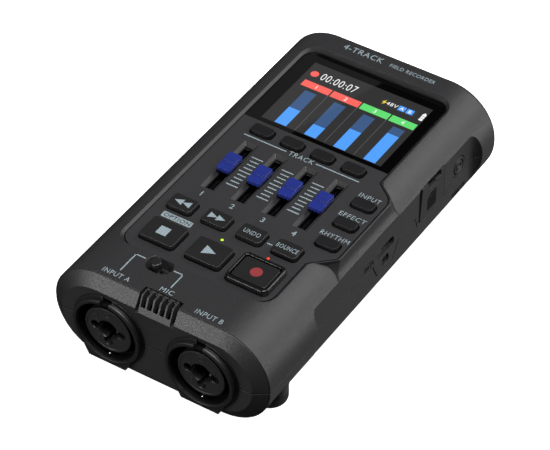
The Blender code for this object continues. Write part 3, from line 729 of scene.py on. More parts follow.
openings = {  # width, height and corner, or a radius
    "usb": (9.2, 3.5, 1.7), "card": (14.6, 12.6, 0.8), "plug": 3.2, "screw": 1.95, "screwHeight": 17.5,
    "jack": 2.6, "wheel": (12.6, 3.7, 0.5), "power": (7.4, 2.6, 0.3), "powerShift": 1.5,
}
grilleSeat = {"width": 12.6, "length": 12, "y": -64.3, "floor": 31.2}
labelField = {"width": 30, "length": 12, "corner": 0.8, "y": -44.0, "depth": 0.2}
footBoss = {"low": 3.3, "rise": 5.9, "radius": 5.40, "draft": 0.25, "flare": 1.1, "steps": 12}


def throughSide(outline, side=1):
    low, high = sorted((side * 28, side * 40))
    return cut(plate(outline, low, high, "X"))


def socketHoles():
    hole = [(-70, 12.0), (-63.45, 12.0), (-63.4, 10.9), (-55, 10.9)]
    centres = [(spot(f"combo_shell_{letter}")[2].x, socketZ) for letter in "ab"]
    return [cut(turned(hole, "Y", centre, 96)) for centre in centres]


def switchDish(knob):
    # a boss under the sliding knob, and later the dish and the slot that its stem runs in
    boss = weld(plate(rectangle(13, 9.5, 0, (knob.x, knob.y - 0.76)), 32.75, 36.0))
    levels = [(33.4, 6.0, 4.0, 1.98), (34.4, 6.7, 4.7, 2.33), (36.2, 8.1, 6.1, 3.0), (36.4, 8.2, 6.2, 3.05),
              (36.9, 9.1, 7.1, 3.5)]
    dish = cut(moved(stack(levels, steps=14), (knob.x, knob.y, 0)))
    return boss, [dish, cut(plate(rectangle(5.4, 2.4, 0, (knob.x, knob.y)), 30, 45))]


def rightOpenings():
    usb, card, plug = (spot(node)[2] for node in ("usb_socket", "card_cover", "port_plug"))
    screwHole = [(32.4, openings["screw"]), (40, openings["screw"])]
    return [
        throughSide(rectangle(*openings["usb"], (usb.y, usb.z), 10)),
        throughSide(rectangle(*openings["card"], (card.y, card.z))),
        throughSide(circle(openings["plug"], (plug.y, plug.z))),
        cut(turned(screwHole, "X", (usb.y, openings["screwHeight"]), 40))]


def leftOpenings():
    wheel, power = spot("volume_wheel")[2], spot("power_knob")[2]
    steps = [throughSide(rectangle(*openings["wheel"], (wheel.y, wheel.z)), -1)]
    for node in ("phones_jack", "line_jack"):
        jack = spot(node)[2]
        steps.append(throughSide(circle(openings["jack"], (jack.y, jack.z)), -1))
        steps.append(cut(turned([(-40, 4.6), (-32.9, 3.6)], "X", (jack.y, jack.z), 48)))
    track = (power.y + openings["powerShift"], power.z)
    steps.append(throughSide(rectangle(*openings["power"], track), -1))
    steps.append(cut(stack([(-40, 12.4, 6.6, 1.6), (-32.8, 10.6, 4.8, 1.0)], "X", track)))
    return steps


def makeUpperShell():
    shell = newObject("upperShell", caseBody())
    boss, dish = switchDish(spot("mode_switch")[2])
    rim = [(panelTop - 0.05, 0.0), (panelTop + 2.2, -case["rimSpread"])]
    rimRings = [[(x, y, z) for x, y in panelOutline(inset, (0.5, 0.1))] for z, inset in rim]
    seat = rectangle(grilleSeat["width"], grilleSeat["length"], 0, (0, grilleSeat["y"]))
    carve(shell, [
        weld(platformBlock()), *hollowOut(),
        weld(plate(panelOutline(-0.5), case["deckLow"], panelTop + 0.1)), boss, *partingCutters(True),
        cut(plate(panelOutline(), panelLow.z - case["gap"], 45)), cut(plate(panelOutline(1.2), 20, 45)),
        cut(loft(rimRings)), *dish,
        cut(plate(seat, grilleSeat["floor"], 45)), *socketHoles(), *rightOpenings(), *leftOpenings()])
    settle(shell, "case", "root", ["upper_case"], 18)


def makeLowerShell():
    shell = newObject("lowerShell", caseBody())
    feet = [spot(node)[2] for node in footNodes]
    tripod = spot("tripod_insert")[2]
    bayLow, bayHigh, bayMid = spot("battery_cover")
    up = [step / footBoss["steps"] for step in range(footBoss["steps"] + 1)]
    sweep = [(footBoss["low"] + footBoss["rise"] * part,
              footBoss["radius"] + footBoss["draft"] * part + footBoss["flare"] * part ** 3) for part in up]
    label = rectangle(labelField["width"], labelField["length"], labelField["corner"], (0, labelField["y"]))
    gap = case["gap"]
    bay = rectangle(bayHigh.x - bayLow.x + 2 * gap, bayHigh.y - bayLow.y + 2 * gap, 1.5, (0, bayMid.y))
    carve(shell, [
        *[weld(turned(sweep, centre=(foot.x, foot.y))) for foot in feet], *hollowOut(),
        *[weld(turned([(6.0, 3.0), (9.0, 3.0)], centre=(foot.x, foot.y))) for foot in feet],
        weld(turned([(5.0, 7.2), (13.0, 7.2)], centre=(tripod.x, tripod.y))), *partingCutters(False),
        cut(plate(bay, 0, 13.2)), *socketHoles(),
        cut(turned([(0, 5.6), (4.4, 5.1), (12.3, 5.1)], centre=(tripod.x, tripod.y))),
        *[cut(turned([(0, 2.6), (5.4, 2.4)], centre=place)) for place in screwPlaces],
        cut(plate(label, 0, case["base"] + labelField["depth"]))])
    settle(shell, "case", "root", ["lower_case"], 18)


socketZ = spot("combo_insert_a")[2].z
footNodes = ["foot_front_left", "foot_front_right", "foot_rear_left", "foot_rear_right"]
screwPlaces = [(-24.0, -33.0), (24.0, -33.0), (-10.0, 57.0), (10.0, 57.0)]
makeUpperShell()
makeLowerShell()
print("case halves made")


# battery door

door = {"ribs": 9, "ribLength": 16.0, "ribPitch": 1.1, "ribRadius": 0.32, "arrow": 4.0}


def makeBatteryDoor():
    low, high, mid = spot("battery_cover")
    panel = newObject("batteryDoor", caseBody())
    inside = rectangle(high.x - low.x, high.y - low.y, 1.3, (0, mid.y))
    carve(panel, [cut(caseBody(case["wall"])), keep(plate(inside, -5, high.z))])
    carve(panel, [cut(plate(rectangle(20, 12.5, 1.5, (0, low.y + 10)), 0, low.z + 0.45))])
    settle(panel, "door", "battery_cover", ["battery_cover"])
    values = {
        "Count": door["ribs"], "Start": Vector((0, low.y + 5.6, low.z + 0.42)) * mm,
        "Offset": Vector((0, door["ribPitch"], 0)) * mm, "Length": door["ribLength"] * mm,
        "Radius": door["ribRadius"] * mm, "Turn": Vector((0, math.pi / 2, 0)),
        "Material": finishes["door"]}
    grip = grow("batteryDoorGrip", trees["ribs"], values)
    settle(grip, "door", "battery_cover")
    size = door["arrow"]
    tip = low.y + 21
    arrow = [(-size / 2, tip - size), (size / 2, tip - size), (0, tip)]
    mark = newObject("batteryDoorArrow", plate(arrow, low.z - 0.12, low.z + 0.1))
    settle(mark, "door", "battery_cover")


makeBatteryDoor()


# control panel and screen

fader = {"slot": (2.6, 21.0), "well": (4.5, 23.3), "floor": (3.1, 21.6), "depth": 0.9}
keyGap = 0.3


def keySize(node):
    # the key's own outline: the flange hidden under the panel is half a millimetre wider all round
    low, high, mid = spot(node)
    return high.x - low.x - 1.0, high.y - low.y - 1.0


trackButtons = [f"track_button_{number}" for number in range(1, 5)]
sideButtons = ["input_button", "effect_button", "rhythm_button"]
smallKeys = ["rewind_key", "forward_key", "undo_key", "bounce_key"]
largeKeys = ["stop_key", "play_key", "record_key"]


def faderWell(mid):
    width, length = fader["well"]
    mouth = (width + 0.24, length + 0.24, 0.45)
    levels = [(panelTop - fader["depth"], *fader["floor"], 0.25), (panelTop - 0.1, width, length, 0.35),
              (panelTop + 0.02, *mouth), (panelTop + 2, *mouth)]
    return [cut(moved(stack(levels, steps=4), (mid.x, mid.y, 0))),
            cut(plate(rectangle(*fader["slot"], 0.15, (mid.x, mid.y)), 30, 40))]


def keyOpening(node):
    mid = spot(node)[2]
    width, length = keySize(node)
    hole = (width + 2 * keyGap, length + 2 * keyGap, (1.2 if "button" in node else 1.0) + keyGap)
    mouth = (hole[0] + 0.3, hole[1] + 0.3, hole[2] + 0.15)
    levels = [(30, *hole), (panelTop - 0.12, *hole), (panelTop + 0.04, *mouth), (40, *mouth)]
    return cut(moved(stack(levels), (mid.x, mid.y, 0)))


def makePanel():
    gap = case["gap"]
    glassFront = spot("screen_window")[0].y
    front = [point for point in panelOutline(gap) if point[1] < glassFront]
    turn = max(index for index, (x, y) in enumerate(front) if x > 0) + 1
    edge = deck["half"] - gap
    outline = front[:turn] + [(edge, glassFront - gap), (-edge, glassFront - gap)] + front[turn:]
    panel = newObject("controlPanel", plate(outline, panelLow.z, panelTop))
    steps = []
    for number in range(1, 5):
        steps += faderWell(spot(f"fader_cap_{number}")[2])
    steps += [keyOpening(node) for node in trackButtons + sideButtons + smallKeys + largeKeys]
    for node in ("play_led", "record_led"):
        mid = spot(node)[2]
        steps.append(cut(plate(circle(0.52, (mid.x, mid.y), 24), 30, 40)))
    carve(panel, steps)
    settle(panel, "panel", "root", ["control_panel"], 18)


makePanel()

screen = {"width": 40.7, "length": 29.8, "centre": (0.53, -0.83)}


def makeGlass():
    low, high, mid = spot("screen_window")
    corners = [(low.x, low.y, 0.3), (high.x, low.y, 0.3), (high.x, high.y, 4.3), (low.x, high.y, 4.3)]
    glass = newObject("screenWindow", plate(roundedOutline(corners, 12), low.z, high.z))
    roundEdges(glass, 0.12)
    settle(glass, "glass", "root", ["screen_window"])


def textMesh(text, height, width=None, weight=0.0, thick=0.05, spacing=1.12):
    # capitals stand height tall, centred on the origin; width squeezes or stretches the line
    curve = bpy.data.curves.new("text", "FONT")
    curve.body = text
    curve.size = 1.0
    curve.space_character = spacing
    curve.offset = weight
    curve.extrude = 0.5
    curve.resolution_u = 3
    obj = newObject("text", curve)
    bpy.context.view_layer.update()
    mesh = bpy.data.meshes.new_from_object(obj.evaluated_get(bpy.context.evaluated_depsgraph_get()))
    bpy.data.objects.remove(obj, do_unlink=True)
    xs = [vertex.co.x for vertex in mesh.vertices]
    ys = [vertex.co.y for vertex in mesh.vertices]
    wide, tall = max(xs) - min(xs), max(ys) - min(ys)
    mesh.transform(Matrix.Translation((-(max(xs) + min(xs)) / 2, -(max(ys) + min(ys)) / 2, 0)))
    scale = height / tall
    across = width / wide if width else scale
    mesh.transform(Matrix.Diagonal((across * mm, scale * mm, thick * mm, 1)))
    bm = bmesh.new()
    bm.from_mesh(mesh)
    bmesh.ops.remove_doubles(bm, verts=bm.verts, dist=1e-7)
    bmesh.ops.recalc_face_normals(bm, faces=bm.faces)
    bm.to_mesh(mesh)
    bm.free()
    return mesh


def bar(x0, x1, y0, y1, z, thick=0.05, radius=0.0):
    outline = rectangle(x1 - x0, y1 - y0, radius, ((x0 + x1) / 2, (y0 + y1) / 2))
    return plate(outline, z - thick / 2, z + thick / 2)


def stroke(a, b, width, z, thick=0.05):
    # a straight printed line between two points
    way = (Vector(b) - Vector(a)).normalized() * width / 2
    side = Vector((-way.y, way.x))
    a, b = Vector(a) - way, Vector(b) + way
    corners = [tuple(a - side), tuple(b - side), tuple(b + side), tuple(a + side)]
    return plate(corners, z - thick / 2, z + thick / 2)


picture = {  # places from the middle of the lit area
    "heads": ((-18.65, -9.08, "lcdRed"), (-8.57, 1.13, "lcdRed"), (1.63, 11.15, "lcdGreen"),
              (11.66, 20.08, "lcdGreen")),
    "headRow": (3.80, 6.60), "bars": ((-15.95, -6.67), (-5.77, -9.38), (4.22, -5.40), (14.38, -1.13)),
    "barWidth": 3.93, "foot": -14.68, "full": 2.27, "rules": (-8.95, 1.10, 11.15), "status": 10.3,
}


def makePicture():
    top = spot("screen_window")[1].z
    module = spot("lcd_module")[2]
    cx, cy = module.x + screen["centre"][0], module.y + screen["centre"][1]
    ground, mark, sign = top + 0.015, top + 0.04, top + 0.065
    halfW, halfL = screen["width"] / 2, screen["length"] / 2
    groups = {colour: [] for colour in (*displayTones, "inkDark")}

    def box(colour, x0, x1, y0, y1, z, radius=0.0):
        groups[colour].append(bar(cx + x0, cx + x1, cy + y0, cy + y1, z, 0.03, radius))

    def put(colour, mesh, x, y, z=sign):
        groups[colour].append(moved(mesh, (cx + x, cy + y, z)))

    box("lcdGround", -halfW, halfW, -halfL, halfL, ground)
    low, high = picture["headRow"]
    for number, ((x0, x1, colour), (left, level)) in enumerate(zip(picture["heads"], picture["bars"]), 1):
        box(colour, x0, x1, low, high, mark)
        put("lcdWhite", textMesh(str(number), 1.5, thick=0.03), (x0 + x1) / 2, (low + high) / 2)
        box("lcdDim", left, left + picture["barWidth"], level, picture["full"], mark)
        box("lcdBlue", left, left + picture["barWidth"], picture["foot"], level, mark)
    for x in picture["rules"]:
        box("lcdLine", x - 0.06, x + 0.06, picture["foot"], low - 0.1, mark)
    y = picture["status"]
    put("lcdRed", plate(circle(1.3), -0.015, 0.015), -17.6, y - 0.1, mark)
    put("lcdWhite", textMesh("00:00:07", 3.2, 12.1, -0.006, 0.03), -9.2, y + 0.1, mark)
    box("inkDark", 5.1, 17.3, y - 1.5, y + 1.7, mark - 0.005, 0.4)
    put("lcdWhite", textMesh("48V", 1.5, 3.7, thick=0.03), 9.15, y + 0.1)
    bolt = [(0.3, 1.1), (-0.7, -0.1), (-0.1, -0.1), (-0.3, -1.1), (0.7, 0.2), (0.1, 0.2)]
    put("lcdYellow", plate(bolt, -0.015, 0.015), 6.5, y)
    for letter, x in (("A", 12.5), ("B", 15.2)):
        box("lcdBlue", x - 1.15, x + 1.15, y - 1.0, y + 1.2, mark + 0.01, 0.3)
        put("lcdWhite", textMesh(letter, 1.35, weight=0.01, thick=0.03), x, y + 0.1)
    box("lcdWhite", 18.9, 20.1, y - 1.6, y + 1.5, mark, 0.15)
    box("lcdWhite", 19.2, 19.8, y + 1.5, y + 1.95, mark)
    for step in (0, 1):
        box("inkDark", 18.9, 20.1, y - 0.62 + step, y - 0.48 + step, sign)
    for colour, meshes in groups.items():
        name = "picture" + colour[3:] if colour.startswith("lcd") else "pictureShade"
        settle(newObject(name, joined(meshes)), colour, "root")


makeGlass()
makePicture()
print("panel and screen made")


# keys, buttons and guard

def makeKey(name, node, corner, edge, finish, draft):
    low, high, mid = spot(node)
    width, length = keySize(node)
    levels = [(low.z, 1.6, 1.6, 0.5), (low.z + 1.1, 1.6, 1.6, 0.5),
              (low.z + 1.1, width + 1.0, length + 1.0, corner), (low.z + 1.8, width, length, corner)]
    levels += softBlock(width - 2 * draft, length - 2 * draft, low.z + 2.0, high.z, corner, edge, draft)
    settle(newObject(name, moved(stack(levels), (mid.x, mid.y, 0))), finish, bodyOf(node), [node])


def makeKeys():
    for node in trackButtons + sideButtons:
        makeKey(node.replace("_button", "Button").replace("_", ""), node, 1.15, 0.20, "button", 0.10)
    for node in smallKeys + largeKeys:
        makeKey(node.replace("_key", "Key"), node, 0.9, 0.16, "key", 0.04)


guard = {"lip": 0.42, "inner": 0.25, "steps": 6}


def makeGuard():
    low, high, mid = spot("record_guard")
    keyWidth, keyLength = keySize("record_key")
    width, length = high.x - low.x, high.y - low.y
    lip, turns = guard["lip"], [math.pi / 2 * step / guard["steps"] for step in range(guard["steps"] + 1)]
    rings = [(low.z, width, length, 1.9)]
    for turn in turns:
        inset, height = lip * (1 - math.cos(turn)), high.z - lip * (1 - math.sin(turn))
        rings.append((height, width - 0.7 - 2 * inset, length - 0.7 - 2 * inset, 1.7 - inset))
    for turn in turns:
        inset, height = guard["inner"] * (1 - math.sin(turn)), high.z - guard["inner"] * (1 - math.cos(turn))
        rings.append((height, keyWidth + 0.8 + 2 * inset, keyLength + 0.8 + 2 * inset, 1.2 + inset))
    rings.append((low.z, keyWidth + 0.8, keyLength + 0.8, 1.2))
    outlines = [[(x, y, height) for x, y in rectangle(across, along, corner, (mid.x, mid.y), 8)]
                for height, across, along, corner in rings]
    piece = newObject("recordGuard", loft(outlines, hollow=True))
    settle(piece, "guard", "root", ["record_guard"])


def makeLeds():
    for node, finish, slot in (("play_led", "ledGreen", "led_green"), ("record_led", "ledRed", "led_red")):
        low, high, mid = spot(node)
        dome = softDisc(0.43, low.z, high.z, 0.3, 6)
        lens = newObject(node.replace("_led", "Lamp"), turned(dome, centre=(mid.x, mid.y), steps=24))
        settle(lens, finish, "root", [node])


makeKeys()
makeGuard()
makeLeds()


# faders

cap = {"width": 4.5, "length": 7.7, "low": 35.4, "top": 36.62, "rise": 0.42, "corner": 0.55, "edge": 0.34}
faderStop = {"y": 9.75, "z": 33.8}
faderProng = {"width": 0.66, "length": 0.8, "down": 0.53, "spread": 1.3, "y": -3.1}
faderStem = [  # height, width, length, corner
    (33.95, 1.1, 2.8, 0.2), (34.05, 2.0, 5.0, 0.5), (34.9, 2.2, 5.6, 0.5), (cap["low"] + 0.05, 3.4, 6.6, 0.5),
]


def makeFaderCap(number, node, mid):
    top, over = cap["top"], cap["top"] + cap["rise"]
    block = softBlock(cap["width"] - 0.2, cap["length"] - 0.2, cap["low"], over, cap["corner"], cap["edge"],
                      0.10, 3)
    piece = newObject(f"faderCap{number}", moved(stack(block), (mid.x, mid.y, 0)))
    # two flat facets fall away from a low bar across the middle
    y, left, right, half, above = mid.y, mid.x - 4, mid.x + 4, cap["width"] / 2 - 0.45, over + 1
    rear = [(y + 0.45, top + 0.30), (y + 5, top + 0.02), (y + 5, above), (y + 0.45, above)]
    front = [(y - 0.55, top - 0.06), (y - 0.55, above), (y - 5, above), (y - 5, top - 0.16)]
    sides = [(y - 0.6, top), (y + 0.6, top), (y + 0.6, above), (y - 0.6, above)]
    carve(piece, [cut(plate(rear, left, right, "X")), cut(plate(front, left, right, "X")),
                  cut(plate(sides, mid.x + half, right, "X")), cut(plate(sides, left, mid.x - half, "X"))])
    roundEdges(piece, 0.10, 24)
    settle(piece, "fader", bodyOf(node), [node])


def makeFaders():
    for number in range(1, 5):
        node = f"fader_cap_{number}"
        low, high, mid = spot(node)
        makeFaderCap(number, node, mid)
        prong = softBlock(faderProng["width"], faderProng["length"], -faderProng["down"], 0.2, 0.12, 0.05)
        places = [(mid.x + side * faderProng["spread"], mid.y + faderProng["y"]) for side in (-1, 0, 1)]
        prongs = [moved(stack(prong), (x, y, cap["low"])) for x, y in places]
        settle(newObject(f"faderProngs{number}", joined(prongs)), "fader", bodyOf(node))
        stem = stack([(low.z, *faderStem[0][1:]), *faderStem])
        settle(newObject(f"faderStem{number}", moved(stem, (mid.x, mid.y, 0))), "stem", bodyOf(node))
        stop = moved(stack([(-0.1, 1.9, 0.34, 0.1), (0.1, 1.7, 0.2, 0.1)]),
                     (mid.x, mid.y + faderStop["y"], faderStop["z"]))
        settle(newObject(f"faderStop{number}", stop), "steel", "root")


makeFaders()
print("keys and faders made")


# printed legends

ink = {"line": 0.38, "thick": 0.05, "proud": 0.02}
scale = {"rows": 9, "pitch": 1.67, "long": 3.9, "short": 2.9, "width": 0.40, "start": 6.7}
words = {"number": 2.0, "track": 1.9, "button": 1.75, "option": 1.45, "away": 14.1, "above": 3.75}
badge = {"x": (-20.3, -10.4), "y": (-31.0, -28.7), "corner": 0.4}


def makeLegends():
    z = panelTop + ink["proud"]
    faders = [spot(f"fader_cap_{number}")[2] for number in range(1, 5)]
    numbers = [textMesh(str(number), words["number"], weight=0.01) for number in range(1, 5)]
    meshes = [moved(mesh, (mid.x - 0.15, mid.y - words["away"], z)) for mesh, mid in zip(numbers, faders)]
    trackY = faders[0].y + words["away"]
    meshes.append(moved(textMesh("TRACK", words["track"], 8.4), (0.0, trackY, z)))
    meshes.append(stroke((-19.4, trackY), (-5.3, trackY), ink["line"], z))
    meshes.append(stroke((5.1, trackY), (19.2, trackY), ink["line"], z))
    for node, width in zip(sideButtons, (7.0, 8.6, 9.2)):
        mid = spot(node)[2]
        label = node.split("_")[0].upper()
        meshes.append(moved(textMesh(label, words["button"], width), (mid.x, mid.y + words["above"], z)))
    undo, bounce = spot("undo_key")[2], spot("bounce_key")[2]
    dash = (undo.x + bounce.x) / 2
    meshes.append(stroke((dash - 0.7, undo.y), (dash + 0.7, undo.y), ink["line"], z))
    meshes.append(bar(*badge["x"], *badge["y"], z - 0.005, 0.04, badge["corner"]))
    settle(newObject("panelLegends", joined(meshes)), "ink", "root")
    centre = (sum(badge["x"]) / 2, sum(badge["y"]) / 2, z + 0.02)
    option = newObject("optionLegend", moved(textMesh("OPTION", words["option"], 8.7), centre))
    settle(option, "inkDark", "root")
    first, second = faders[:2]
    values = {
        "Rows": scale["rows"], "Row Pitch": scale["pitch"] * mm, "Columns": 3,
        "Column Pitch": (second.x - first.x) * mm, "Long": scale["long"] * mm, "Short": scale["short"] * mm,
        "Width": scale["width"] * mm, "Thickness": ink["thick"] * mm,
        "Place": Vector(((first.x + second.x) / 2, first.y + scale["start"], z)) * mm,
        "Material": finishes["ink"]}
    settle(grow("scaleMarks", trees["marks"], values), "ink", "root")


def triangle(x, y, width, height, z, way=1):
    corners = [(x - way * width / 2, y - height / 2), (x + way * width / 2, y),
               (x - way * width / 2, y + height / 2)]
    return plate(corners, z - ink["thick"] / 2, z + ink["thick"] / 2)


def markKey(node, shape, finish="ink"):
    # shape makes the mark's mesh from the middle of the key's top
    high, mid = spot(node)[1:]
    mesh = shape(mid.x, mid.y, high.z + ink["proud"])
    settle(newObject(node.replace("_key", "Mark"), mesh), finish, bodyOf(node))


def makeKeyMarks():
    for node, way in (("rewind_key", -1), ("forward_key", 1)):
        markKey(node, lambda x, y, z: joined([triangle(x + u, y, 2.7, 2.4, z, way) for u in (-1.3, 1.3)]))
    for node, text, width in (("undo_key", "UNDO", 5.4), ("bounce_key", "BOUNCE", 6.9)):
        markKey(node, lambda x, y, z: moved(textMesh(text, 1.7, width), (x, y, z)))
    markKey("stop_key", lambda x, y, z: bar(x - 1.65, x + 1.65, y - 1.65, y + 1.65, z))
    markKey("play_key", lambda x, y, z: triangle(x + 0.2, y, 3.9, 3.6, z))
    half = ink["thick"] / 2
    markKey("record_key", lambda x, y, z: moved(plate(circle(1.8), -half, half), (x + 0.2, y, z)), "inkRed")


def makeCaseLegends():
    z = shellHigh.z + ink["proud"]
    y = spot("mode_switch")[2].y + 0.15
    lines = [((-15.76, y - 7.5), (-15.76, y)), ((-15.76, y), (-12.76, y)), ((-2.96, y), (-0.16, y)),
             ((-0.16, y), (-0.16, y - 5.8))]
    texts = [("INPUT A", 1.75, 8.8, 0.0, -15.7, y - 9.6), ("MIC", 1.7, 4.3, 0.0, -0.25, y - 7.6),
             ("INPUT B", 1.75, 8.8, 0.0, 14.9, y - 9.6), ("4-TRACK", 2.3, 13.5, 0.004, -8.5, 59.6),
             ("FIELD RECORDER", 1.5, 15.5, 0.002, 8.6, 59.3)]
    meshes = [stroke(a, b, ink["line"], z) for a, b in lines]
    for text, height, width, weight, u, v in texts:
        meshes.append(moved(textMesh(text, height, width, weight), (u, v, z)))
    settle(newObject("caseLegends", joined(meshes)), "ink", "root")


makeLegends()
makeKeyMarks()
makeCaseLegends()
print("legends printed")


# combo sockets

combo = {
    "ring": 11.5, "bore": 9.78, "neck": 10.5, "flange": 11.75, "seat": -63.25, "ledge": (-61.9, -61.2),
    "disc": 7.78, "dished": 0.14, "jack": 3.1, "pin": 1.35, "pinReach": 4.3, "pins": (0, 180, 270),
    "notch": 3.0, "dome": 0.4,
}


def makeComboRing(letter, x, z, front, back):
    bore, ring, neck, flange, seat = (combo[key] for key in ("bore", "ring", "neck", "flange", "seat"))
    near, far = combo["ledge"]
    profile = roundedOutline([
        (back, bore, 0), (back, neck, 0), (seat, neck, 0), (seat, flange, 0), (seat - 0.5, flange, 0.1),
        (seat - 0.7, neck + 0.25, 0.1), (front + 0.95, neck + 0.25, 0.1), (front + 0.75, ring - 0.1, 0.12),
        (front + 0.12, ring - 0.3, 0.4), (front, 10.15, 0.3), (front + 0.55, bore, 0.1),
        (near, bore, 0), (near, 9.35, 0), (far, 9.35, 0), (far, bore, 0)], 5)
    piece = newObject("comboRing" + letter.upper(), turnedRing(profile, "Y", (x, z), 112))
    collar = [(x - 7.9, 11.6), (x - 6.2, 8.05), (x + 6.2, 8.05), (x + 7.9, 11.6)]
    opening = turned([(-70, bore + 0.01), (back - 1, bore + 0.01)], "Y", (x, z), 112)
    notch = plate(rectangle(combo["notch"], 5.0, 0.3, (x, z + 10.6)), -70, -62.6, "Y")
    carve(piece, [weld(plate(collar, front + 0.2, seat, "Y")), cut(opening), cut(notch)])
    settle(piece, "ring", "root", [f"combo_shell_{letter}"])


def makeComboSleeve(letter, x, z, front, back):
    # a near-black lining of the bore, darker than the ring: painted shade that makes the bore read black
    bore = combo["bore"] - 0.02
    near, far = combo["ledge"][0] - 0.05, combo["ledge"][1] + 0.1
    boreShadeProfile = [(front + 0.75, bore), (back, bore), (back, 9.5), (far, 9.5), (far, 9.3), (near, 9.3),
             (near, 9.6), (front + 0.75, 9.66)]
    sleeve = newObject("comboLiner" + letter.upper(), turnedRing(boreShadeProfile, "Y", (x, z), 96))
    settle(sleeve, "hollow", "root")


def makeComboInsert(letter, x, z, front, back):
    disc, dished = combo["disc"], front + combo["dished"]
    face = [(back, disc), (front + 0.4, disc), (front + 0.12, disc - 0.1), (front, disc - 0.38),
            (front, disc - 0.75), (dished, disc - 0.9)]
    piece = newObject("comboInsert" + letter.upper(), turned(face, "Y", (x, z), 96))
    jack, pin, reach = combo["jack"], combo["pin"], combo["pinReach"]
    throat = [(-70, jack + 0.3), (dished, jack + 0.25), (front + 0.5, jack), (-50, jack)]
    pinHole = [(-70, pin + 0.2), (dished, pin + 0.18), (front + 0.4, pin), (-52, pin)]
    holes = [cut(turned(throat, "Y", (x, z), 64))]
    for turn in combo["pins"]:
        place = (x + reach * math.cos(math.radians(turn)), z + reach * math.sin(math.radians(turn)))
        holes.append(cut(turned(pinHole, "Y", place, 32)))
    carve(piece, holes)
    settle(piece, "socket", "root", [f"combo_insert_{letter}"])


def makeComboNumerals(letter, x, z, front):
    raised = []
    for text, u, v in (("2", -3.9, 3.3), ("1", 4.6, 2.2), ("3", -3.4, -4.0)):
        numeral = textMesh(text, 2.2, thick=0.20)
        numeral.transform(Matrix.Rotation(math.pi / 2, 4, "X"))
        raised.append(moved(numeral, (x + u, front + 0.12, z + v)))
    band = [(front + 0.2, 0.75, 0), (front + 0.2, 1.15, 0), (front + 0.03, 1.1, 0.05),
            (front + 0.03, 0.8, 0.05)]
    raised.append(turnedRing(roundedOutline(band, 3), "Y", (x, z + 5.6), 32))
    settle(newObject("comboNumerals" + letter.upper(), joined(raised)), "panel", "root")


def makeComboContacts(letter, x, z):
    # three sprung contacts behind the holes, and a domed one under the insert
    springs = []
    for u, v, y, size in ((4.2, -0.2, -62.3, 0.45), (0.1, -4.3, -62.3, 0.45), (1.5, -1.7, -62.2, 0.4)):
        spring = turned([(0.0, 0.12), (0.06, 0.3), (0.22, size), (5, size)], "Y", steps=20)
        springs.append(moved(spring, (x + u, y, z + v)))
    radius, turns = combo["dome"], [math.radians(turn) for turn in (8, 30, 52, 74, 90)]
    dome = [(radius - radius * math.cos(turn), radius * math.sin(turn)) for turn in turns]
    springs.append(moved(turned([*dome, (8, radius)], "Y", steps=20), (x + 0.25, -64.6, z - 8.85)))
    settle(newObject("comboContacts" + letter.upper(), joined(springs)), "metal", "root",
           [f"combo_contact_{letter}"])


def makeSocket(letter):
    shell, insert = spot(f"combo_shell_{letter}"), spot(f"combo_insert_{letter}")
    x, z = insert[2].x, insert[2].z
    makeComboRing(letter, x, z, shell[0].y, shell[1].y)
    makeComboSleeve(letter, x, z, shell[0].y, shell[1].y)
    makeComboInsert(letter, x, z, insert[0].y, insert[1].y)
    makeComboNumerals(letter, x, z, insert[0].y)
    makeComboContacts(letter, x, z)


for letter in "ab":
    makeSocket(letter)
print("sockets made")


# microphone grille and mode switch

grille = {
    "slots": 5, "pitch": 2.05, "cheek": 0.75, "slot": (1.45, 3.8, 0.2), "slotY": -61.35,
    "pit": (0.5, 0.7, 0.1), "pitY": -59.2,
}


def makeGrille():
    low, high = spot("mic_grille")[:2]
    profile = roundedOutline([
        (-64.2, 31.5, 0.15), (-61.7, 36.75, 0.35), (-58.9, 36.95, 0.3), (-58.6, 35.6, 0), (-58.6, 33.2, 0),
        (-61.0, 33.2, 0), (-62.6, 31.9, 0)], 5)
    piece = newObject("micGrille", plate(profile, low.x + grille["cheek"], high.x - grille["cheek"], "X"))
    steps = []
    for index in range(grille["slots"]):
        x = (index - (grille["slots"] - 1) / 2) * grille["pitch"]
        steps.append(cut(plate(rectangle(*grille["slot"], (x, grille["slotY"])), 20, 45)))
        steps.append(cut(plate(rectangle(*grille["pit"], (x, grille["pitY"])), 35.9, 45)))
    carve(piece, steps)
    roundEdges(piece, 0.09, 40)
    settle(piece, "grille", "root", ["mic_grille"])


def makeModeKnob():
    low, high, mid = spot("mode_knob")
    radius = (high.x - low.x) / 2
    crown = [(1.6, 0), (0.8, 0.14), (0.32, 0.26), (0.20, 0.32), (0.10, 0.40), (0.03, 0.50), (0, 0.62)]
    levels = [(low.z, 0.8), (low.z + 1.6, 0.8), (low.z + 1.6, radius)]
    levels += [(high.z - down, radius - inset) for down, inset in crown]
    knob = newObject("modeKnob", turned(levels, centre=(mid.x, mid.y)))
    settle(knob, "key", "mode_knob", ["mode_knob"])


makeGrille()
makeModeKnob()
print("grille and mode switch made")


# right side

flap = {"slant": 1.2, "edge": 0.12, "groove": 0.35}


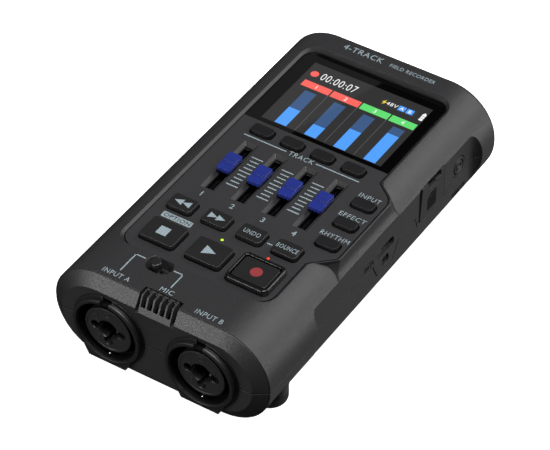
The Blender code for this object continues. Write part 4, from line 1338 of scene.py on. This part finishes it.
def makeCardCover():
    low, high, mid = spot("card_cover")
    y, top = mid.y, high.z
    outline = roundedOutline([
        (low.y + flap["slant"] * 0.2, low.z, 0.5), (high.y, low.z, 0.8), (high.y, top, 0.3),
        (y + 4.8, top, 0.2), (y + 4.8, top - 2.0, 0.2), (y + 2.6, top - 2.0, 0.2), (y + 2.0, top - 2.7, 0.2),
        (y - 2.2, top - 2.7, 0.2), (y - 2.4, top, 0.2), (low.y + flap["slant"], top, 0.3)], 4)
    cover = newObject("cardCover", plate(outline, low.x, high.x, "X"))
    groove = roundedOutline([(y - 2.2, top - 3.7, 0.2), (y + 4.6, top - 3.7, 0.2), (y + 4.6, top - 3.3, 0.1),
                             (y - 2.2, top - 3.3, 0.1)], 3)
    carve(cover, [cut(plate(groove, high.x - flap["groove"], high.x + 1, "X"))])
    roundEdges(cover, flap["edge"], 40)
    settle(cover, "flap", "card_cover", ["card_cover"])
    z = mid.z - 1.2
    # the embossed card icon is drawn near-black: painted shade standing for its relief
    icon = [(y - 2.6, z - 3.2), (y + 2.2, z - 3.2), (y + 2.2, z + 2.4), (y - 1.0, z + 2.4),
            (y - 1.8, z + 1.2), (y - 2.6, z + 1.2)]
    card = newObject("cardIcon", plate(icon, high.x - 0.1, high.x + 0.08, "X"))
    contacts = [rectangle(0.5, 1.5, 0, (y - 0.6 + k * 0.9, z + 1.2)) for k in range(3)]
    carve(card, [cut(plate(contact, 30, 40, "X")) for contact in contacts])
    settle(card, "hollow", "card_cover")


def makePortPlug():
    low, high, mid = spot("port_plug")
    outer = (high.y - low.y) / 2
    face = high.x
    levels = [(low.x, outer - 0.4), (face - 0.3, outer), (face - 0.08, outer - 0.06), (face, outer - 0.25),
              (face, outer - 0.7), (face - 0.35, outer - 0.85), (face - 0.35, 1.75), (face - 0.05, 1.6),
              (face, 1.4), (face, 0.9), (face - 0.25, 0.75)]
    plug = newObject("portPlug", turned(levels, "X", (mid.y, mid.z)))
    settle(plug, "flap", "port_plug", ["port_plug"])


def sideText(text, height, width, y, z, x, side=1):
    mesh = textMesh(text, height, width, 0.01, 0.12)
    mesh.transform(Matrix.Rotation(side * math.pi / 2, 4, "Z") @ Matrix.Rotation(math.pi / 2, 4, "X"))
    return moved(mesh, (x, y, z))


def screwHead():
    head = newObject("screwHead", turned(softDisc(1.85, -1.2, 0.0, 0.3), steps=40))
    across = [(-0.9, 1.9, 0.5, 0), (0.3, 2.3, 0.5, 0)]
    return carve(head, [cut(stack(across)), cut(stack([(h, b, a, r) for h, a, b, r in across]))])


def placeScrews(name, points, turn):
    head = screwHead()
    base = bpy.data.meshes.new(name)
    base.from_pydata([Vector(point) * mm for point in points], [], [])
    values = {"Screw": head, "Turn": Vector(turn), "Material": finishes["steel"]}
    piece = grow(name, trees["screws"], values, base)
    bpy.data.objects.remove(head, do_unlink=True)
    settle(piece, "steel", "root")


def makeUsbSocket():
    low, high, mid = spot("usb_socket")
    place = (mid.y, mid.z)
    shell = [(low.x, 8.9, 3.2, 1.55), (31.9, 8.9, 3.2, 1.55), (32.0, 8.7, 3.0, 1.45)]
    socket = newObject("usbSocket", stack(shell, "X", place, 10))
    carve(socket, [cut(stack([(25.6, 8.3, 2.6, 1.28), (34, 8.3, 2.6, 1.28)], "X", place, 10)),
                   weld(plate(rectangle(6.6, 0.7, 0.2, place), 25.2, 31.0, "X"))])
    settle(socket, "metal", "root", ["usb_socket"])


def makeRightSide():
    makeCardCover()
    makePortPlug()
    makeUsbSocket()
    x, usb, plug = case["flatX"], spot("usb_socket")[2], spot("port_plug")[2]
    # the embossed side lettering is drawn near-black: painted shade standing for its relief
    marks = [sideText("REMOTE", 1.7, 7.6, plug.y + 0.4, 12.6, x),
             sideText("DATA", 1.9, 5.0, usb.y - 9.0, usb.z, x)]
    settle(newObject("sideLegends", joined(marks)), "hollow", "root")
    placeScrews("sideScrew", [(32.75, usb.y, openings["screwHeight"])], (0, math.pi / 2, 0))


makeRightSide()
print("right side made")


# left side

wheelSet = {"ribs": 64, "ribRadius": 0.17, "shaft": 1.5}


def makeVolumeWheel():
    low, high, mid = spot("volume_wheel")
    radius = (high.x - low.x) / 2
    levels = [(low.z, radius - 0.5), (low.z + 0.3, radius - 0.12), (high.z - 0.3, radius - 0.12),
              (high.z, radius - 0.5)]
    wheel = newObject("volumeWheel", turned(levels, centre=(mid.x, mid.y), steps=96))
    carve(wheel, [cut(plate(circle(wheelSet["shaft"], (mid.x, mid.y)), 10, 40))])
    settle(wheel, "key", "volume_wheel", ["volume_wheel"])
    values = {
        "Count": wheelSet["ribs"], "Wheel Radius": (radius - 0.1) * mm,
        "Rib Radius": wheelSet["ribRadius"] * mm, "Width": (high.z - low.z - 0.7) * mm, "Centre": mid * mm,
        "Material": finishes["key"]}
    settle(grow("volumeKnurl", trees["knurl"], values), "key", "volume_wheel")


def makeJack(node):
    mid = spot(node)[2]
    place = (mid.y, mid.z)
    block = stack([(-31.0, 7.0, 4.6, 0.3), (-20.5, 7.0, 4.6, 0.3)], "X", place)
    jack = newObject(node.replace("_jack", "Jack"), block)
    carve(jack, [weld(turned([(-32.6, 2.3), (-30.5, 2.3)], "X", place)),
                 cut(turned([(-40, 2.1), (-32.6, 2.1), (-32.3, 1.8), (-22.5, 1.8)], "X", place))])
    settle(jack, "socket", "root", [node])


def makePowerKnob():
    low, high, mid = spot("power_knob")
    levels = [(high.x, 3.0, 1.6, 0.1), (low.x + 0.9, 3.0, 1.6, 0.15), (low.x + 0.15, 2.6, 1.6, 0.15),
              (low.x, 2.3, 1.4, 0.15)]
    slider = newObject("powerKnob", stack(levels, "X", (mid.y, mid.z)))
    settle(slider, "key", "power_knob", ["power_knob"])
    values = {
        "Count": 3, "Start": Vector((low.x + 0.02, mid.y - 0.7, mid.z)) * mm,
        "Offset": Vector((0, 0.7, 0)) * mm, "Length": 1.3 * mm, "Radius": 0.13 * mm,
        "Turn": Vector((0, 0, 0)), "Material": finishes["key"]}
    settle(grow("powerRibs", trees["ribs"], values), "key", "power_knob")


def makeLeftSide():
    makeVolumeWheel()
    for node in ("phones_jack", "line_jack"):
        makeJack(node)
    makePowerKnob()
    texts = [("VOLUME", 7.0, "volume_wheel", 0, 17.0), ("PHONES", 7.0, "phones_jack", 0, 16.8),
             ("LINE OUT", 8.0, "line_jack", 0, 16.8),
             ("POWER", 6.2, "power_knob", openings["powerShift"], 16.8)]
    marks = [sideText(text, 1.5, width, spot(node)[2].y + shift, z, -case["flatX"], -1)
             for text, width, node, shift, z in texts]
    settle(newObject("leftLegends", joined(marks)), "ink", "root")


makeLeftSide()
print("left side made")


# feet and underside

tripodSet = {"bore": 3.15, "outer": 4.8, "turns": 6.0, "height": 7.2, "depth": 0.38}


def makeFoot(node):
    low, high, mid = spot(node)
    radius = (high.x - low.x) / 2
    levels = [(0, radius - 1.6), (0, radius - 0.7), (0.1, radius - 0.35), (0.35, radius - 0.1), (0.7, radius),
              (high.z, radius)]
    name = "foot" + "".join(word.capitalize() for word in node.split("_")[1:])
    foot = newObject(name, turned(levels, centre=(mid.x, mid.y), steps=64))
    groove = [(-1, 3.1), (0.25, 3.1), (0.25, 3.6), (-1, 3.6)]
    carve(foot, [cut(turnedRing(groove, "Z", (mid.x, mid.y), 64))])
    settle(foot, "rubber", "root", [node])


def makeTripodInsert():
    low, high, mid = spot("tripod_insert")
    bore, outer = tripodSet["bore"], tripodSet["outer"]
    corners = [(low.z, bore, 0.1), (low.z, outer, 0.2), (high.z, outer, 0), (high.z, bore, 0)]
    sleeve = roundedOutline(corners, 3)
    nut = newObject("tripodInsert", turnedRing(sleeve, "Z", (mid.x, mid.y), 64))
    settle(nut, "brass", "root", ["tripod_insert"])
    values = {
        "Turns": tripodSet["turns"], "Radius": bore * mm, "Height": tripodSet["height"] * mm,
        "Depth": tripodSet["depth"] * mm, "Place": Vector((mid.x, mid.y, low.z + 0.4)) * mm,
        "Material": finishes["brass"]}
    settle(grow("tripodThread", trees["thread"], values), "brass", "root")


for node in footNodes:
    makeFoot(node)
makeTripodInsert()
placeScrews("caseScrews", [(x, y, 5.0) for x, y in screwPlaces], (math.pi, 0, 0))
print("underside made")


# carried-over pieces inside the case

insideFinishes = {
    "steel": ["lcd_module"] + [f"fader_body_{number}" for number in range(1, 5)],
    "board": ["main_board", "key_board"],
    "metal": ["mic_capsule", "mode_switch", "card_socket"],
    "cell": [f"battery_{number}" for number in range(1, 5)],
}
for finish, nodes in insideFinishes.items():
    for node in nodes:
        for materialSlot in frame["nodes"][node].material_slots:
            materialSlot.material = finishes[finish]
print("inside pieces finished")
